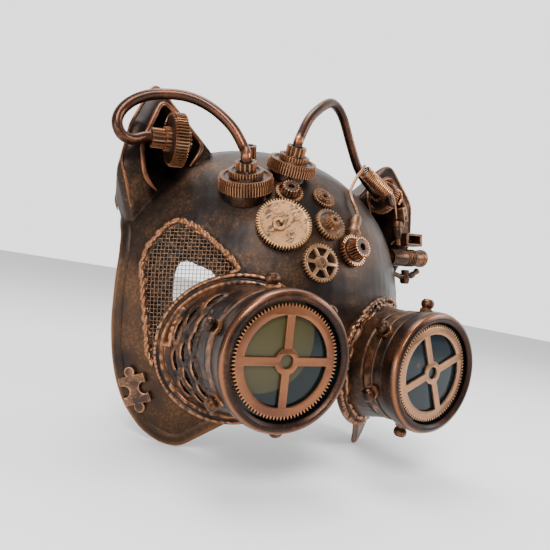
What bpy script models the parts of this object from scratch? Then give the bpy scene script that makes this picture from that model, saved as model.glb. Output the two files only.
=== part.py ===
"""Steampunk cat half-mask: a domed face shell with scooped ears, screw-off goggles, clock gears and bent tubes.

Frame: +Z up, the face looks along -Y, +X is the viewer's right. The origin lies on the mask's middle plane
at eye level, just inside the bridge of the nose. All lengths are in metres.
"""

from math import atan2, cos, pi, radians, sin, sqrt

import bmesh
import bpy
import numpy as np
from mathutils import Matrix, Vector

MM = 0.001

# Shell: a part ellipsoid that swells towards the back of the temples
SHELL_HALF_WIDTH = 88 * MM
SHELL_DEPTH = 86 * MM
SHELL_RISE = 92 * MM
SHELL_DROP = 170 * MM
SHELL_CENTRE_Y = 70 * MM
SHELL_CENTRE_Z = 20 * MM
TEMPLE_SWELL = 18 * MM
SWELL_START_Y = 5 * MM
SWELL_RUN = 50 * MM
SHELL_WALL = 2.4 * MM
CROWN_TRIM_Y = 73 * MM
CHEEK_TRIM_Y = 43 * MM
LOBE_BOTTOM_Z = -59.5 * MM
NOSE_ARCH_Z = -12 * MM
NOSE_ARCH_HALF_WIDTH = 56 * MM
SHELL_COLUMNS = 30
SHELL_ROWS = 16

# Ears, for the +X side: (x, y, z, radius) of the balls that each form is stretched over
EAR_FORM = (
    (88, 65, 125, 4.5), (98.5, 52, 100, 5), (101, 50, 78, 5), (95, 48, 60, 4), (91, 50, 45, 3),
    (57.5, 53, 95.5, 4.5), (86, 76, 96, 7), (93, 66, 60, 7), (60, 76, 92, 7),
)
EAR_SCOOP = (
    (84, 55, 117, 3.5), (91, 46, 93, 5.5), (89.5, 42, 77, 5), (85, 34, 62, 3.5), (73.5, 48, 108, 5),
    (66, 50, 100, 5), (83, 57, 101, 9), (77, 56, 92, 10), (90, 18, 94, 6), (86, 18, 70, 6),
    (84, 26, 118, 4), (70, 22, 108, 6), (62, 24, 96, 5),
)

# Goggles
EYE_SPACING = 88.4 * MM
RIM_Y = -47 * MM
RIM_SPLAY = radians(4)
RIM_R = 31 * MM
RIM_LIP_R = 26 * MM
RIM_FRONT = 2 * MM
RIM_LIP = 1.8 * MM
RIM_CHAMFER = 2.6 * MM
RIM_SKIRT_WALL = 1.6 * MM
RIM_LENGTH = 9 * MM
COLLAR_WALL = 2.4 * MM
COLLAR_OVERLAP = 1.2 * MM
COLLAR_LENGTH = 9.6 * MM
KNOB_RING_HEIGHT = 1.3 * MM
KNOB_RING_WIDTH = 3.2 * MM
KNOB_COUNT = 6
KNOB_R = 3.4 * MM
KNOB_HEIGHT = 7 * MM
KNOB_START = {"left": radians(42), "right": radians(26)}
CUP_WALL = 2.2 * MM
CUP_R = 27.4 * MM
CUP_DEPTH = 52 * MM
CUP_SPREAD_ACROSS = 4.5 * MM
CUP_SPREAD_UP = 8 * MM
CUP_SHIFT = 2.6 * MM
CUP_DROP = 6 * MM
CUP_REACH = 1.3
FLANGE_WIDTH = 3.5 * MM
FLANGE_THICKNESS = 2.6 * MM
SCREEN_WALL = 0.6 * MM
LEAF_LENGTH = 9 * MM
LEAF_WIDTH = 2.8 * MM
SLOT_LENGTH = 13 * MM
SLOT_WIDTH = 1.8 * MM

# Openings in the cup's outer flank, as (angle in degrees, depth in millimetres)
LEAF_SPOTS = ((137, 23.5), (155, 33), (174, 20), (185.5, 28.5), (202, 18), (211, 31), (226, 21))
SLOT_SPOTS = ((168, 41), (168, 46))
EYE_HOLE_R = 20 * MM
LENS_THICKNESS = 1.4 * MM
COG_THICKNESS = 1.1 * MM
COG_R = 24.8 * MM
COG_TOOTH = 1.2 * MM
COG_RING_INNER_R = 19.8 * MM
COG_HUB_R = 5.7 * MM
COG_HOLE_R = 3.1 * MM
COG_SPOKE = 3.7 * MM
COG_TEETH = 32
COG_TURN = {"left": radians(4), "right": radians(26)}
GASKET_WIDTH = 2.6 * MM
GASKET_THICKNESS = 1.3 * MM

GAP = 0.35 * MM
SIGN = {"left": -1, "right": 1}
ROUND_SIDES = 28

# Temple window on the -X side, as (theta, phi) directions on the shell in degrees
WINDOW_OUTLINE = (
    (-58.8, 23.3), (-62, 19.8), (-65.2, 11.8), (-65.5, 5), (-63.2, -2.6), (-61.5, -6.7), (-59.8, -12.2),
    (-56.5, -14.2), (-50, -6), (-44, 2), (-33.8, 9.4), (-36.5, 12), (-44.3, 17), (-52, 21.5),
)
WINDOW_HOLE = ((-56, 10.5), (-55.5, -3), (-50, -1), (-40.5, 6.5))
BEAD_WIDTH = 2.6 * MM
BEAD_HEIGHT = 2.0 * MM
WINDOW_DEPTH = 4.2 * MM
WINDOW_RECESS = 1.4 * MM
GRILLE_THICKNESS = 0.5 * MM

# Tubes and wires
SOCKET_DEPTH = 2.5 * MM
TUBE_R = 2.75 * MM
LEAD_R = 0.8 * MM
SPRING_R = 3.6 * MM
SPRING_WIRE_R = 0.75 * MM
SPRING_TURNS = 9

PUZZLE_SEAT = (-62, -18.5)
PUZZLE_SIZE = 15 * MM
PUZZLE_KNOB_R = 2.9 * MM
PUZZLE_THICKNESS = 2 * MM

STRAP_ANCHOR_SIZE = (3 * MM, 14 * MM, 24 * MM)
STRAP_SLOT = (4.4 * MM, 16 * MM)
STRAP_SEAT = (61, -19)
STRAP_STANDOFF = 1.4 * MM


# ---------------------------------------------------------------- tools

def clear_scene():
    for item in list(bpy.data.objects):
        bpy.data.objects.remove(item, do_unlink=True)


def make_material(name, colour, roughness, metallic):
    material = bpy.data.materials.new(name)
    material.use_nodes = True
    shader = material.node_tree.nodes["Principled BSDF"]
    shader.inputs["Base Color"].default_value = (*colour, 1)
    shader.inputs["Roughness"].default_value = roughness
    shader.inputs["Metallic"].default_value = metallic
    return material


FINISHES = {
    "aged_shell": ((0.10, 0.075, 0.06), 0.55, 0.4),
    "dark_copper": ((0.16, 0.09, 0.055), 0.45, 0.7),
    "bright_copper": ((0.42, 0.22, 0.12), 0.35, 0.85),
    "rose_brass": ((0.66, 0.46, 0.28), 0.35, 0.8),
    "grey_wire": ((0.35, 0.33, 0.31), 0.4, 0.8),
    "dark_lens": ((0.02, 0.03, 0.05), 0.06, 0.0),
    "seal_rubber": ((0.03, 0.03, 0.03), 0.8, 0.0),
}


def add_mesh(name, vertices, faces, finish=None, matrix=None):
    """One object from points in metres, with its faces pointing out."""
    mesh = bpy.data.meshes.new(name)
    mesh.from_pydata([tuple(v) for v in vertices], [], faces)
    shape = bmesh.new()
    shape.from_mesh(mesh)
    bmesh.ops.recalc_face_normals(shape, faces=shape.faces)
    if shape.calc_volume(signed=True) < 0:
        bmesh.ops.reverse_faces(shape, faces=shape.faces)
    shape.to_mesh(mesh)
    shape.free()
    item = bpy.data.objects.new(name, mesh)
    bpy.context.scene.collection.objects.link(item)
    if matrix is not None:
        item.matrix_world = matrix
    dress(item, finish or "aged_shell")
    return item


def dress(item, finish):
    name = f"{item.name}_{finish}"
    item.data.materials.clear()
    item.data.materials.append(make_material(name, *FINISHES[finish]))


def hide_cutter(item):
    item.hide_render = True
    item.display_type = "WIRE"
    return item


def combine(item, other, operation):
    step = item.modifiers.new(other.name, "BOOLEAN")
    step.operation = operation
    step.object = hide_cutter(other)
    step.solver = "EXACT"
    return item


def cut(item, *cutters):
    for cutter in cutters:
        combine(item, cutter, "DIFFERENCE")
    return item


def join(item, *others):
    for other in others:
        combine(item, other, "UNION")
    return item


def aim(origin, axis, towards=(0, 0, 1)):
    """Matrix with +Z along axis and +Y as near as it can be to towards."""
    z = Vector(axis).normalized()
    x = Vector(towards).cross(z).normalized()
    y = z.cross(x)
    turn = Matrix((x, y, z)).transposed().to_4x4()
    return Matrix.Translation(Vector(origin)) @ turn


def ring_points(profile, sides, phase=0.0):
    """Turned points: for each (radius, height), a ring of points, or one point on the axis."""
    points, rings = [], []
    for radius, height in profile:
        if radius < 1e-7:
            rings.append([len(points)])
            points.append((0, 0, height))
            continue
        rings.append(list(range(len(points), len(points) + sides)))
        for i in range(sides):
            angle = phase + 2 * pi * i / sides
            points.append((radius * cos(angle), radius * sin(angle), height))
    return points, rings


def turned(name, profile, finish=None, matrix=None, sides=ROUND_SIDES, phase=0.0):
    """Solid of revolution about Z. A profile that starts and ends on the axis is solid, any other is a ring."""
    points, rings = ring_points(profile, sides, phase)
    pairs = list(zip(rings, rings[1:]))
    if len(rings[0]) > 1:
        pairs.append((rings[-1], rings[0]))
    faces = []
    for a, b in pairs:
        for i in range(sides):
            j = (i + 1) % sides
            if len(a) == 1:
                faces.append((a[0], b[i], b[j]))
            elif len(b) == 1:
                faces.append((a[i], a[j], b[0]))
            else:
                faces.append((a[i], a[j], b[j], b[i]))
    item = add_mesh(name, points, faces, finish, matrix)
    item.data.shade_smooth()
    item.data.set_sharp_from_angle(angle=radians(35))
    return item


def disc(name, radius, low, high, finish=None, matrix=None, sides=ROUND_SIDES, phase=0.0):
    return turned(name, ((0, low), (radius, low), (radius, high), (0, high)), finish, matrix, sides, phase)


def prism(name, outline, low, high, finish=None, matrix=None):
    count = len(outline)
    points = [(x, y, low) for x, y in outline] + [(x, y, high) for x, y in outline]
    faces = [tuple(range(count)), tuple(range(2 * count - 1, count - 1, -1))]
    faces += [(i, (i + 1) % count, count + (i + 1) % count, count + i) for i in range(count)]
    return add_mesh(name, points, faces, finish, matrix)


def block(name, size, centre=(0, 0, 0), finish=None, matrix=None):
    half = [side / 2 for side in size]
    outline = [(centre[0] + sx * half[0], centre[1] + sy * half[1]) for sx, sy in ((-1, -1), (1, -1), (1, 1), (-1, 1))]
    return prism(name, outline, centre[2] - half[2], centre[2] + half[2], finish, matrix)


def tooth_outline(teeth, tip, tooth):
    """Pointed-tooth outline of a gear blank."""
    outline = []
    for i in range(teeth):
        for part, radius in ((0, tip), (0.5, tip - tooth)):
            angle = 2 * pi * (i + part) / teeth
            outline.append((radius * cos(angle), radius * sin(angle)))
    return outline


def stretch_over(name, balls, mirror=1, grow=0.0):
    """Convex form stretched over balls given in millimetres."""
    shape = bmesh.new()
    for x, y, z, radius in balls:
        centre = Vector((mirror * x, y, z)) * MM
        made = bmesh.ops.create_icosphere(shape, subdivisions=1, radius=radius * MM + grow)
        bmesh.ops.translate(shape, verts=made["verts"], vec=centre)
    skin = set(bmesh.ops.convex_hull(shape, input=shape.verts)["geom"])
    bmesh.ops.delete(shape, geom=[f for f in shape.faces if f not in skin], context="FACES")
    bmesh.ops.delete(shape, geom=[v for v in shape.verts if not v.link_faces], context="VERTS")
    points = [tuple(v.co) for v in shape.verts]
    index = {v: i for i, v in enumerate(shape.verts)}
    faces = [tuple(index[v] for v in f.verts) for f in shape.faces]
    shape.free()
    return add_mesh(name, points, faces)


def smooth_route(points, step):
    """Points read from a smooth curve through the route's own points, about one step apart."""
    knots = [Vector(p) * MM for p in points]
    knots = [2 * knots[0] - knots[1]] + knots + [2 * knots[-1] - knots[-2]]
    route = []
    for a, b, c, d in zip(knots, knots[1:], knots[2:], knots[3:]):
        count = max(1, round((c - b).length / step))
        for i in range(count):
            t = i / count
            route.append(0.5 * (2 * b + (c - a) * t + (2 * a - 5 * b + 4 * c - d) * t * t
                                + (3 * b - a - 3 * c + d) * t ** 3))
    route.append(knots[-2])
    return route


def tube(name, points, radius, finish, resolution=2):
    curve = bpy.data.curves.new(name, "CURVE")
    curve.dimensions = "3D"
    curve.bevel_depth = radius
    curve.bevel_resolution = resolution
    curve.use_fill_caps = True
    line = curve.splines.new("POLY")
    line.points.add(len(points) - 1)
    for knot, point in zip(line.points, points):
        knot.co = (*point, 1)
    item = bpy.data.objects.new(name, curve)
    bpy.context.scene.collection.objects.link(item)
    dress(item, finish)
    return item


# ---------------------------------------------------------------- shell

def shell_point(theta, phi):
    """Outer shell surface in a direction: theta round from the nose, phi up, in radians."""
    rise = SHELL_RISE if phi > 0 else SHELL_DROP
    z = SHELL_CENTRE_Z + rise * sin(phi)
    y = SHELL_CENTRE_Y - SHELL_DEPTH * cos(phi) * cos(theta)
    run = min(1.0, max(0.0, (y - SWELL_START_Y) / SWELL_RUN))
    swell = TEMPLE_SWELL * run * run * (3 - 2 * run) * sin(theta) * abs(sin(theta))
    return Vector(((SHELL_HALF_WIDTH * sin(theta) + swell) * cos(phi), y, z))


def shell_normal(theta, phi):
    e = 1e-4
    across = shell_point(theta + e, phi) - shell_point(theta - e, phi)
    up = shell_point(theta, phi + e) - shell_point(theta, phi - e)
    return across.cross(up).normalized()


def shell_at(theta_deg, phi_deg, lift=0.0):
    theta, phi = radians(theta_deg), radians(phi_deg)
    return shell_point(theta, phi) + shell_normal(theta, phi) * lift


def dome(name, grow, spread=0.0, apex_y=None):
    """Closed solid under the shell surface moved out by grow."""
    thetas = np.radians(np.linspace(-100 - spread, 100 + spread, SHELL_COLUMNS + 1))
    phis = np.radians(np.linspace(-30 - spread, 87 + spread / 2, SHELL_ROWS + 1))
    points = [shell_point(t, p) + shell_normal(t, p) * grow for t in thetas for p in phis]
    rows = SHELL_ROWS + 1
    faces = []
    for i in range(SHELL_COLUMNS):
        for j in range(SHELL_ROWS):
            a = i * rows + j
            faces.append((a, a + rows, a + rows + 1, a + 1))
    rim = [i * rows for i in range(SHELL_COLUMNS + 1)]
    rim += [SHELL_COLUMNS * rows + j for j in range(1, rows)]
    rim += [i * rows + SHELL_ROWS for i in range(SHELL_COLUMNS - 1, -1, -1)]
    rim += [j for j in range(SHELL_ROWS - 1, 0, -1)]
    apex = len(points)
    points.append(Vector((0, apex_y or SHELL_CENTRE_Y + 15 * MM, SHELL_CENTRE_Z)))
    faces += [(rim[i], apex, rim[(i + 1) % len(rim)]) for i in range(len(rim))]
    return add_mesh(name, points, faces)


def along_x(name, outline, low, high):
    """Prism of a (y, z) outline along X."""
    matrix = Matrix(((0, 0, 1, 0), (1, 0, 0, 0), (0, 1, 0, 0), (0, 0, 0, 1)))
    return prism(name, outline, low, high, None, matrix)


def along_y(name, outline, low, high):
    """Prism of an (x, z) outline along Y."""
    matrix = Matrix(((1, 0, 0, 0), (0, 0, 1, 0), (0, 1, 0, 0), (0, 0, 0, 1)))
    return prism(name, outline, low, high, None, matrix)


def side_trim():
    """Everything behind the rear edge, which runs forward under the cheek lobes."""
    far = 220 * MM
    y, z = CHEEK_TRIM_Y, LOBE_BOTTOM_Z
    outline = [
        (far, far), (CROWN_TRIM_Y, far), (CROWN_TRIM_Y, 88 * MM), (y + 18 * MM, 56 * MM), (y + 5 * MM, 43 * MM),
        (y + 1.5 * MM, 32 * MM), (y + 0.4 * MM, 18 * MM), (y, 0), (y - 1 * MM, z + 42 * MM), (y - 3 * MM, z + 27 * MM),
        (y - 6 * MM, z + 16 * MM), (y - 11 * MM, z + 6 * MM), (y - 16 * MM, z + 1.5 * MM), (y - 22 * MM, z),
        (y - 27 * MM, z + 2.2 * MM), (y - 34 * MM, z + 7.2 * MM), (y - 45 * MM, z + 17.5 * MM),
        (y - 51 * MM, z + 24 * MM), (-far, z + 24 * MM), (-far, -far), (far, -far),
    ]
    return along_x("side_trim", outline, -far, far)


def nose_trim():
    """Arch over the nose, between the cheek lobes."""
    half, top, low = NOSE_ARCH_HALF_WIDTH, NOSE_ARCH_Z, -120 * MM
    depth = LOBE_BOTTOM_Z + 3.5 * MM - top
    arc = [(half * t, top + depth * abs(t) ** 1.5) for t in np.linspace(-1, 1, 17)]
    return along_y("nose_trim", arc + [(half, low), (-half, low)], -120 * MM, 48 * MM)


# ---------------------------------------------------------------- goggles

def eye_matrix(side):
    """Goggle frame: +Z outwards along the goggle, +X to the viewer's right, +Y up."""
    out = Vector((SIGN[side] * sin(RIM_SPLAY), -cos(RIM_SPLAY), 0))
    return aim(Vector((SIGN[side] * EYE_SPACING / 2, RIM_Y, 0)), out)


RIM_BACK = RIM_FRONT - RIM_LENGTH
LIP_BACK = RIM_FRONT - RIM_LIP
SKIRT_R = RIM_R - RIM_SKIRT_WALL
COG_FRONT = LIP_BACK - 0.9 * MM
LENS_FRONT = COG_FRONT - COG_THICKNESS - GAP
GASKET_FRONT = LENS_FRONT - LENS_THICKNESS - GAP
COLLAR_FRONT = RIM_BACK + COLLAR_OVERLAP
COLLAR_R = SKIRT_R - GAP
COLLAR_BACK = COLLAR_FRONT - COLLAR_LENGTH
CUP_FRONT = COLLAR_BACK - GAP


def cup_ring(side, depth, grow, sides=ROUND_SIDES):
    """Oval section of the cup at a depth behind its front, grown outwards."""
    share = depth / CUP_DEPTH
    across = CUP_R + CUP_SPREAD_ACROSS * share + grow
    up = CUP_R + CUP_SPREAD_UP * share + grow
    shift = SIGN[side] * CUP_SHIFT * share
    drop = CUP_DROP * share
    turns = [2 * pi * i / sides for i in range(sides)]
    return [(shift + across * cos(a), up * sin(a) - drop, CUP_FRONT - depth) for a in turns]


def cup_loft(name, side, grow, start, end, steps=1):
    depths = [start + (end - start) * i / steps for i in range(steps + 1)]
    points = [p for depth in depths for p in cup_ring(side, depth, grow)]
    n = ROUND_SIDES
    faces = [tuple(range(n)), tuple(range(steps * n, (steps + 1) * n))]
    for k in range(steps):
        faces += [(k * n + i, k * n + (i + 1) % n, (k + 1) * n + (i + 1) % n, (k + 1) * n + i) for i in range(n)]
    return add_mesh(name, points, faces, "dark_copper", eye_matrix(side))


def goggle_cup(side, skin, flange_skin):
    cup = cup_loft(f"goggle_cup_{side}", side, 0, 0, CUP_DEPTH * 1.1)
    flange = cup_loft(f"flange_{side}", side, FLANGE_WIDTH, CUP_DEPTH * 0.2, CUP_DEPTH * 1.15)
    combine(flange, flange_skin, "INTERSECT")
    join(cup, flange)
    cut(cup, skin, cup_loft(f"cup_passage_{side}", side, -CUP_WALL, -2 * MM, CUP_DEPTH * CUP_REACH))
    cut(cup, *cup_openings(side))


def cup_opening(name, side, angle, depth, outline):
    """Cutter through the cup wall. The angle in degrees runs from the nose side, over the top, to the outer side."""
    turn = radians(angle if side == "left" else 180 - angle)
    centre = Vector((SIGN[side] * CUP_SHIFT, -CUP_DROP, 0)) * (depth / CUP_DEPTH)
    across = CUP_R + CUP_SPREAD_ACROSS * depth / CUP_DEPTH
    up = CUP_R + CUP_SPREAD_UP * depth / CUP_DEPTH
    spot = centre + Vector((across * cos(turn), up * sin(turn), CUP_FRONT - depth))
    out = Vector((cos(turn) / across, sin(turn) / up, 0))
    return prism(name, outline, -2 * CUP_WALL, CUP_WALL, None, eye_matrix(side) @ aim(spot, out, (0, 0, 1)))


def cup_openings(side):
    """Leaf-shaped vents and, behind them, two slots that run round the cup."""
    half, end = LEAF_WIDTH / 2, LEAF_LENGTH / 2
    leaf = ((-end, 0), (-end * 0.2, -half), (end * 0.5, -half * 0.6), (end, 0), (-end * 0.2, half))
    cutters = []
    for k, (angle, depth) in enumerate(LEAF_SPOTS):
        cutters.append(cup_opening(f"leaf_{side}_{k}", side, angle, depth * MM, leaf))
    half, end = SLOT_WIDTH / 2, SLOT_LENGTH / 2
    slot = ((-end, -half), (end, -half), (end, half), (-end, half))
    for k, (angle, depth) in enumerate(SLOT_SPOTS):
        cutters.append(cup_opening(f"slot_{side}_{k}", side, angle, depth * MM, slot))
    return cutters


def vent_screen(side, skin):
    outer = cup_loft(f"vent_screen_{side}", side, -CUP_WALL - GAP, 4 * MM, CUP_DEPTH)
    inner = cup_loft(f"screen_passage_{side}", side, -CUP_WALL - GAP - SCREEN_WALL, 2 * MM, CUP_DEPTH * 1.1)
    cut(outer, skin, inner)
    dress(outer, "grey_wire")


def goggle_collar(side):
    inner = COLLAR_R - COLLAR_WALL
    low, high = COLLAR_BACK, COLLAR_FRONT
    ring_low = low + 0.8 * MM
    ring_high = ring_low + KNOB_RING_WIDTH
    bump = COLLAR_R + KNOB_RING_HEIGHT
    waist = COLLAR_R - 0.7 * MM
    profile = (
        (inner, low), (waist, low), (COLLAR_R, ring_low), (bump, ring_low + 0.8 * MM), (bump, ring_high - 0.8 * MM),
        (waist, ring_high), (waist, RIM_BACK - 0.6 * MM), (COLLAR_R, RIM_BACK), (COLLAR_R, high), (inner, high),
    )
    turned(f"goggle_collar_{side}", profile, "dark_copper", eye_matrix(side))


def collar_knobs(side):
    height = COLLAR_BACK + 0.8 * MM + KNOB_RING_WIDTH / 2
    foot = COLLAR_R + KNOB_RING_HEIGHT + GAP
    profile = (
        (0, 0), (KNOB_R * 0.8, 0), (KNOB_R, 1.0 * MM), (KNOB_R, KNOB_HEIGHT * 0.6), (KNOB_R * 0.6, KNOB_HEIGHT * 0.9),
        (0, KNOB_HEIGHT),
    )
    for i in range(KNOB_COUNT):
        angle = KNOB_START[side] + 2 * pi * i / KNOB_COUNT
        out = Vector((cos(angle), sin(angle), 0))
        local = aim(out * foot + Vector((0, 0, height)), out, (0, 0, 1))
        turned(f"collar_knob_{side}_{i + 1}", profile, "bright_copper", eye_matrix(side) @ local, 8)


def bezel_ring(side):
    profile = (
        (SKIRT_R, RIM_BACK), (RIM_R, RIM_BACK), (RIM_R, RIM_FRONT - RIM_CHAMFER), (RIM_R - RIM_CHAMFER, RIM_FRONT),
        (RIM_LIP_R + 0.6 * MM, RIM_FRONT), (RIM_LIP_R, RIM_FRONT - 0.6 * MM), (RIM_LIP_R, LIP_BACK),
        (SKIRT_R, LIP_BACK),
    )
    turned(f"bezel_ring_{side}", profile, "dark_copper", eye_matrix(side))


def cog_insert(side):
    """Fine-toothed wheel: ring, four spokes and a drilled hub, held in the rim behind its lip."""
    turn = eye_matrix(side) @ Matrix.Rotation(COG_TURN[side], 4, "Z")
    low, high = COG_FRONT - COG_THICKNESS, COG_FRONT
    wheel = prism(f"cog_insert_{side}", tooth_outline(COG_TEETH, COG_R, COG_TOOTH), low, high, "rose_brass", turn)
    inner = COG_RING_INNER_R
    for i in range(4):
        start = i * pi / 2
        half = COG_SPOKE / 2
        outer_arc, inner_arc = [], []
        edge = atan2(half, inner)
        hub_edge = atan2(half, sqrt(COG_HUB_R ** 2 - half ** 2))
        for share in range(7):
            a = start + edge + (pi / 2 - 2 * edge) * share / 6
            outer_arc.append((inner * cos(a), inner * sin(a)))
        for share in range(4):
            a = start + pi / 2 - hub_edge - (pi / 2 - 2 * hub_edge) * share / 3
            inner_arc.append((COG_HUB_R * cos(a), COG_HUB_R * sin(a)))
        cut(wheel, prism(f"cog_window_{side}_{i}", outer_arc + inner_arc, low - 1 * MM, high + 1 * MM, None, turn))
    cut(wheel, disc(f"cog_hole_{side}", COG_HOLE_R, low - 1 * MM, high + 1 * MM, None, turn, 12))


def goggle_inner_parts(side):
    lens_r = SKIRT_R - GAP
    matrix = eye_matrix(side)
    disc(f"dark_lens_{side}", lens_r, LENS_FRONT - LENS_THICKNESS, LENS_FRONT, "dark_lens", matrix)
    low, inner = GASKET_FRONT - GASKET_THICKNESS, lens_r - GASKET_WIDTH
    profile = ((inner, low), (lens_r, low), (lens_r, GASKET_FRONT), (inner, GASKET_FRONT))
    turned(f"lens_gasket_{side}", profile, "seal_rubber", matrix)


# ---------------------------------------------------------------- gears

def gear_stack(name, matrix, tiers, finish, bore=0.0, mouth="high"):
    """Toothed tiers on one axis, as (teeth, tip radius, tooth, low, high) in millimetres."""
    made = None
    for k, (teeth, tip, tooth, low, high) in enumerate(tiers):
        outline = tooth_outline(teeth, tip * MM, tooth * MM)
        tier = prism(name if made is None else f"{name}_tier_{k}", outline, low * MM, high * MM, finish, matrix)
        made = tier if made is None else join(made, tier)
    if bore:
        end, inward = (tiers[-1][4] * MM, -1) if mouth == "high" else (tiers[0][3] * MM, 1)
        low, high = sorted((end + inward * SOCKET_DEPTH, end - inward * GAP))
        cut(made, disc(f"{name}_bore", bore * MM, low, high, None, matrix, 12))
    return made


# Seat (theta, phi) in degrees, axis or None for the shell's own normal, lift, foot radius and tiers in millimetres
FOREHEAD_GEARS = {
    "gear_stack_left": ((-40, 38.9), (-0.363, -0.387, 0.848), -1, 12.7,
                        ((30, 14.6, 1.3, 1.5, 8.5), (20, 9.2, 1.1, 8.2, 11.5), (12, 5.6, 1.0, 11.2, 15.8)), 3.2,
                        "dark_copper"),
    "gear_stack_right": ((-20.8, 50.8), (-0.137, -0.416, 0.899), 0, 8.5,
                         ((28, 13.6, 1.3, 2.5, 8.8), (18, 8.4, 1.0, 8.5, 11.5), (12, 5.5, 1.0, 11.2, 16.5)), 3.2,
                         "dark_copper"),
    "double_gear": ((-21.5, 39.9), None, 0, 6, ((22, 7.6, 0.9, 0.6, 2.4), (12, 4.5, 0.8, 2.1, 6.2)), 1.6,
                    "dark_copper"),
    "scratched_gear": ((-22.8, 26.2), None, 0, 12, ((42, 14.4, 1.1, 1.2, 3.6),), 0, "rose_brass"),
    "dished_gear": ((-4, 29.9), None, 0, 7, ((26, 8.7, 0.9, 0.8, 3.0), (10, 3.0, 0.7, 2.8, 7.0)), 1.2, "rose_brass"),
    "skeleton_gear": ((-4, 41.4), None, 0, 5, ((18, 6.6, 0.8, 0.2, 1.6), (8, 3.2, 0.5, 1.4, 2.4)), 1.0,
                      "dark_copper"),
    "drum_gear": ((6.2, 22.1), None, 0, 7, ((24, 8.6, 0.9, 0.6, 2.8), (14, 5.4, 0.8, 2.6, 9.0)), 1.8, "rose_brass"),
    "rear_pinion": ((-46.7, 60.1), None, 0, 2.4, ((12, 3.8, 0.8, 0.0, 7.0),), 1.4, "dark_copper"),
}
SPOKED_GEAR_SEAT = (-8.3, 15.7)


def seat_matrix(seat, axis, lift):
    theta, phi = radians(seat[0]), radians(seat[1])
    normal = shell_normal(theta, phi)
    return aim(shell_point(theta, phi) + normal * lift * MM, axis or normal)


def forehead_gear(name, skin):
    seat, axis, lift, foot_r, tiers, bore, finish = FOREHEAD_GEARS[name]
    matrix = seat_matrix(seat, axis, lift)
    gear = gear_stack(name, matrix, tiers, finish, bore)
    foot = disc(f"{name}_foot", foot_r * MM, -9 * MM, (tiers[0][3] + 0.4) * MM, None, matrix, 20)
    join(gear, foot)
    cut(gear, skin)


def spoked_gear(skin):
    matrix = seat_matrix(SPOKED_GEAR_SEAT, None, 0)
    low, high, teeth, tip = 0.6 * MM, 2.6 * MM, 32, 10 * MM
    wheel = prism("spoked_gear", tooth_outline(teeth, tip, 0.8 * MM), low, high, "rose_brass", matrix)
    for i in range(6):
        middle = radians(30 + 60 * i)
        outline = [(7.9 * MM * cos(middle + a), 7.9 * MM * sin(middle + a)) for a in (-0.4, -0.14, 0.14, 0.4)]
        outline += [(3.6 * MM * cos(middle + a), 3.6 * MM * sin(middle + a)) for a in (0.25, -0.25)]
        cut(wheel, prism(f"spoked_window_{i}", outline, low - 1 * MM, high + 1 * MM, None, matrix))
    join(wheel, disc("spoked_foot", 2.6 * MM, -4 * MM, high + 0.8 * MM, None, matrix, 12))
    cut(wheel, skin)


EAR_GEAR_CENTRE = {"left": (-79.8, 41, 97.3), "right": (70.5, 44, 100.5)}
EAR_GEAR_AXIS = {"left": (0.98, -0.05, 0.16), "right": (-0.96, -0.2, 0.16)}
EAR_GEAR_MOUTH = {"left": "low", "right": "high"}
EAR_GEAR_TIERS = {
    "left": ((12, 5.2, 0.9, -13.2, -3.2), (28, 14.2, 1.2, -3.5, 3.5), (12, 5.4, 0.9, 3.2, 7.5)),
    "right": ((12, 4.8, 0.8, -10, -2.6), (24, 11.2, 1.1, -2.9, 2.9), (12, 4.8, 0.8, 2.6, 7)),
}


def ear_gear_matrix(side):
    return aim(Vector(EAR_GEAR_CENTRE[side]) * MM, EAR_GEAR_AXIS[side])


def ear_gears(side, skin):
    name = f"ear_gears_{side}"
    gears = gear_stack(name, ear_gear_matrix(side), EAR_GEAR_TIERS[side], "dark_copper", 3.2, EAR_GEAR_MOUTH[side])
    cut(gears, skin)


# ---------------------------------------------------------------- tubes, spring and wires

# Points the bent tubes pass through between their two sockets, in millimetres
TUBE_ROUTES = {
    "left": ((-51.6, 15.2, 97), (-58, 21, 107.6), (-69, 28, 116), (-81.3, 34, 119), (-95.2, 38, 116.2),
             (-104.2, 39.5, 111), (-109.9, 39.5, 104), (-111.6, 38, 97), (-108.6, 37.5, 91.5), (-102.6, 39.2, 90.8)),
    "right": ((-21.4, 12.5, 111), (-14.5, 16.5, 125), (-1, 24, 138.3), (8.6, 29, 142.1), (18.7, 33, 138.1),
              (30.4, 36.5, 125), (41.2, 38.5, 112.5), (53, 39.5, 104.4)),
}
TUBE_STEP = 5 * MM
WIRE_STEP = 3.5 * MM
SPRING_ENDS = ((39.4, 29, 109.3), (61.2, 29, 99.7))
FERRULE_TOP = (16.2, 0.2, 75.5)
FERRULE_FOOT = (11.4, -5.2, 65.2)
LEAD_ROUTE = ((37.2, 27.5, 112.6), (33.6, 25, 108.4), (27, 20.8, 101), (20.7, 15.6, 92.4), (17, 8, 85.4),
              (17, 3, 79.6), (16.6, 0.6, 76.2))
LONG_WIRE_ROUTE = ((63, 27.6, 100.8), (68, 30.4, 98), (75, 35, 92.6), (80.6, 39, 88))
HOOK_ROUTE = ((84.6, 43.4, 98.6), (86.4, 43.6, 103.4), (84.8, 43.4, 107.6), (80.8, 43, 108.4))


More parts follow.
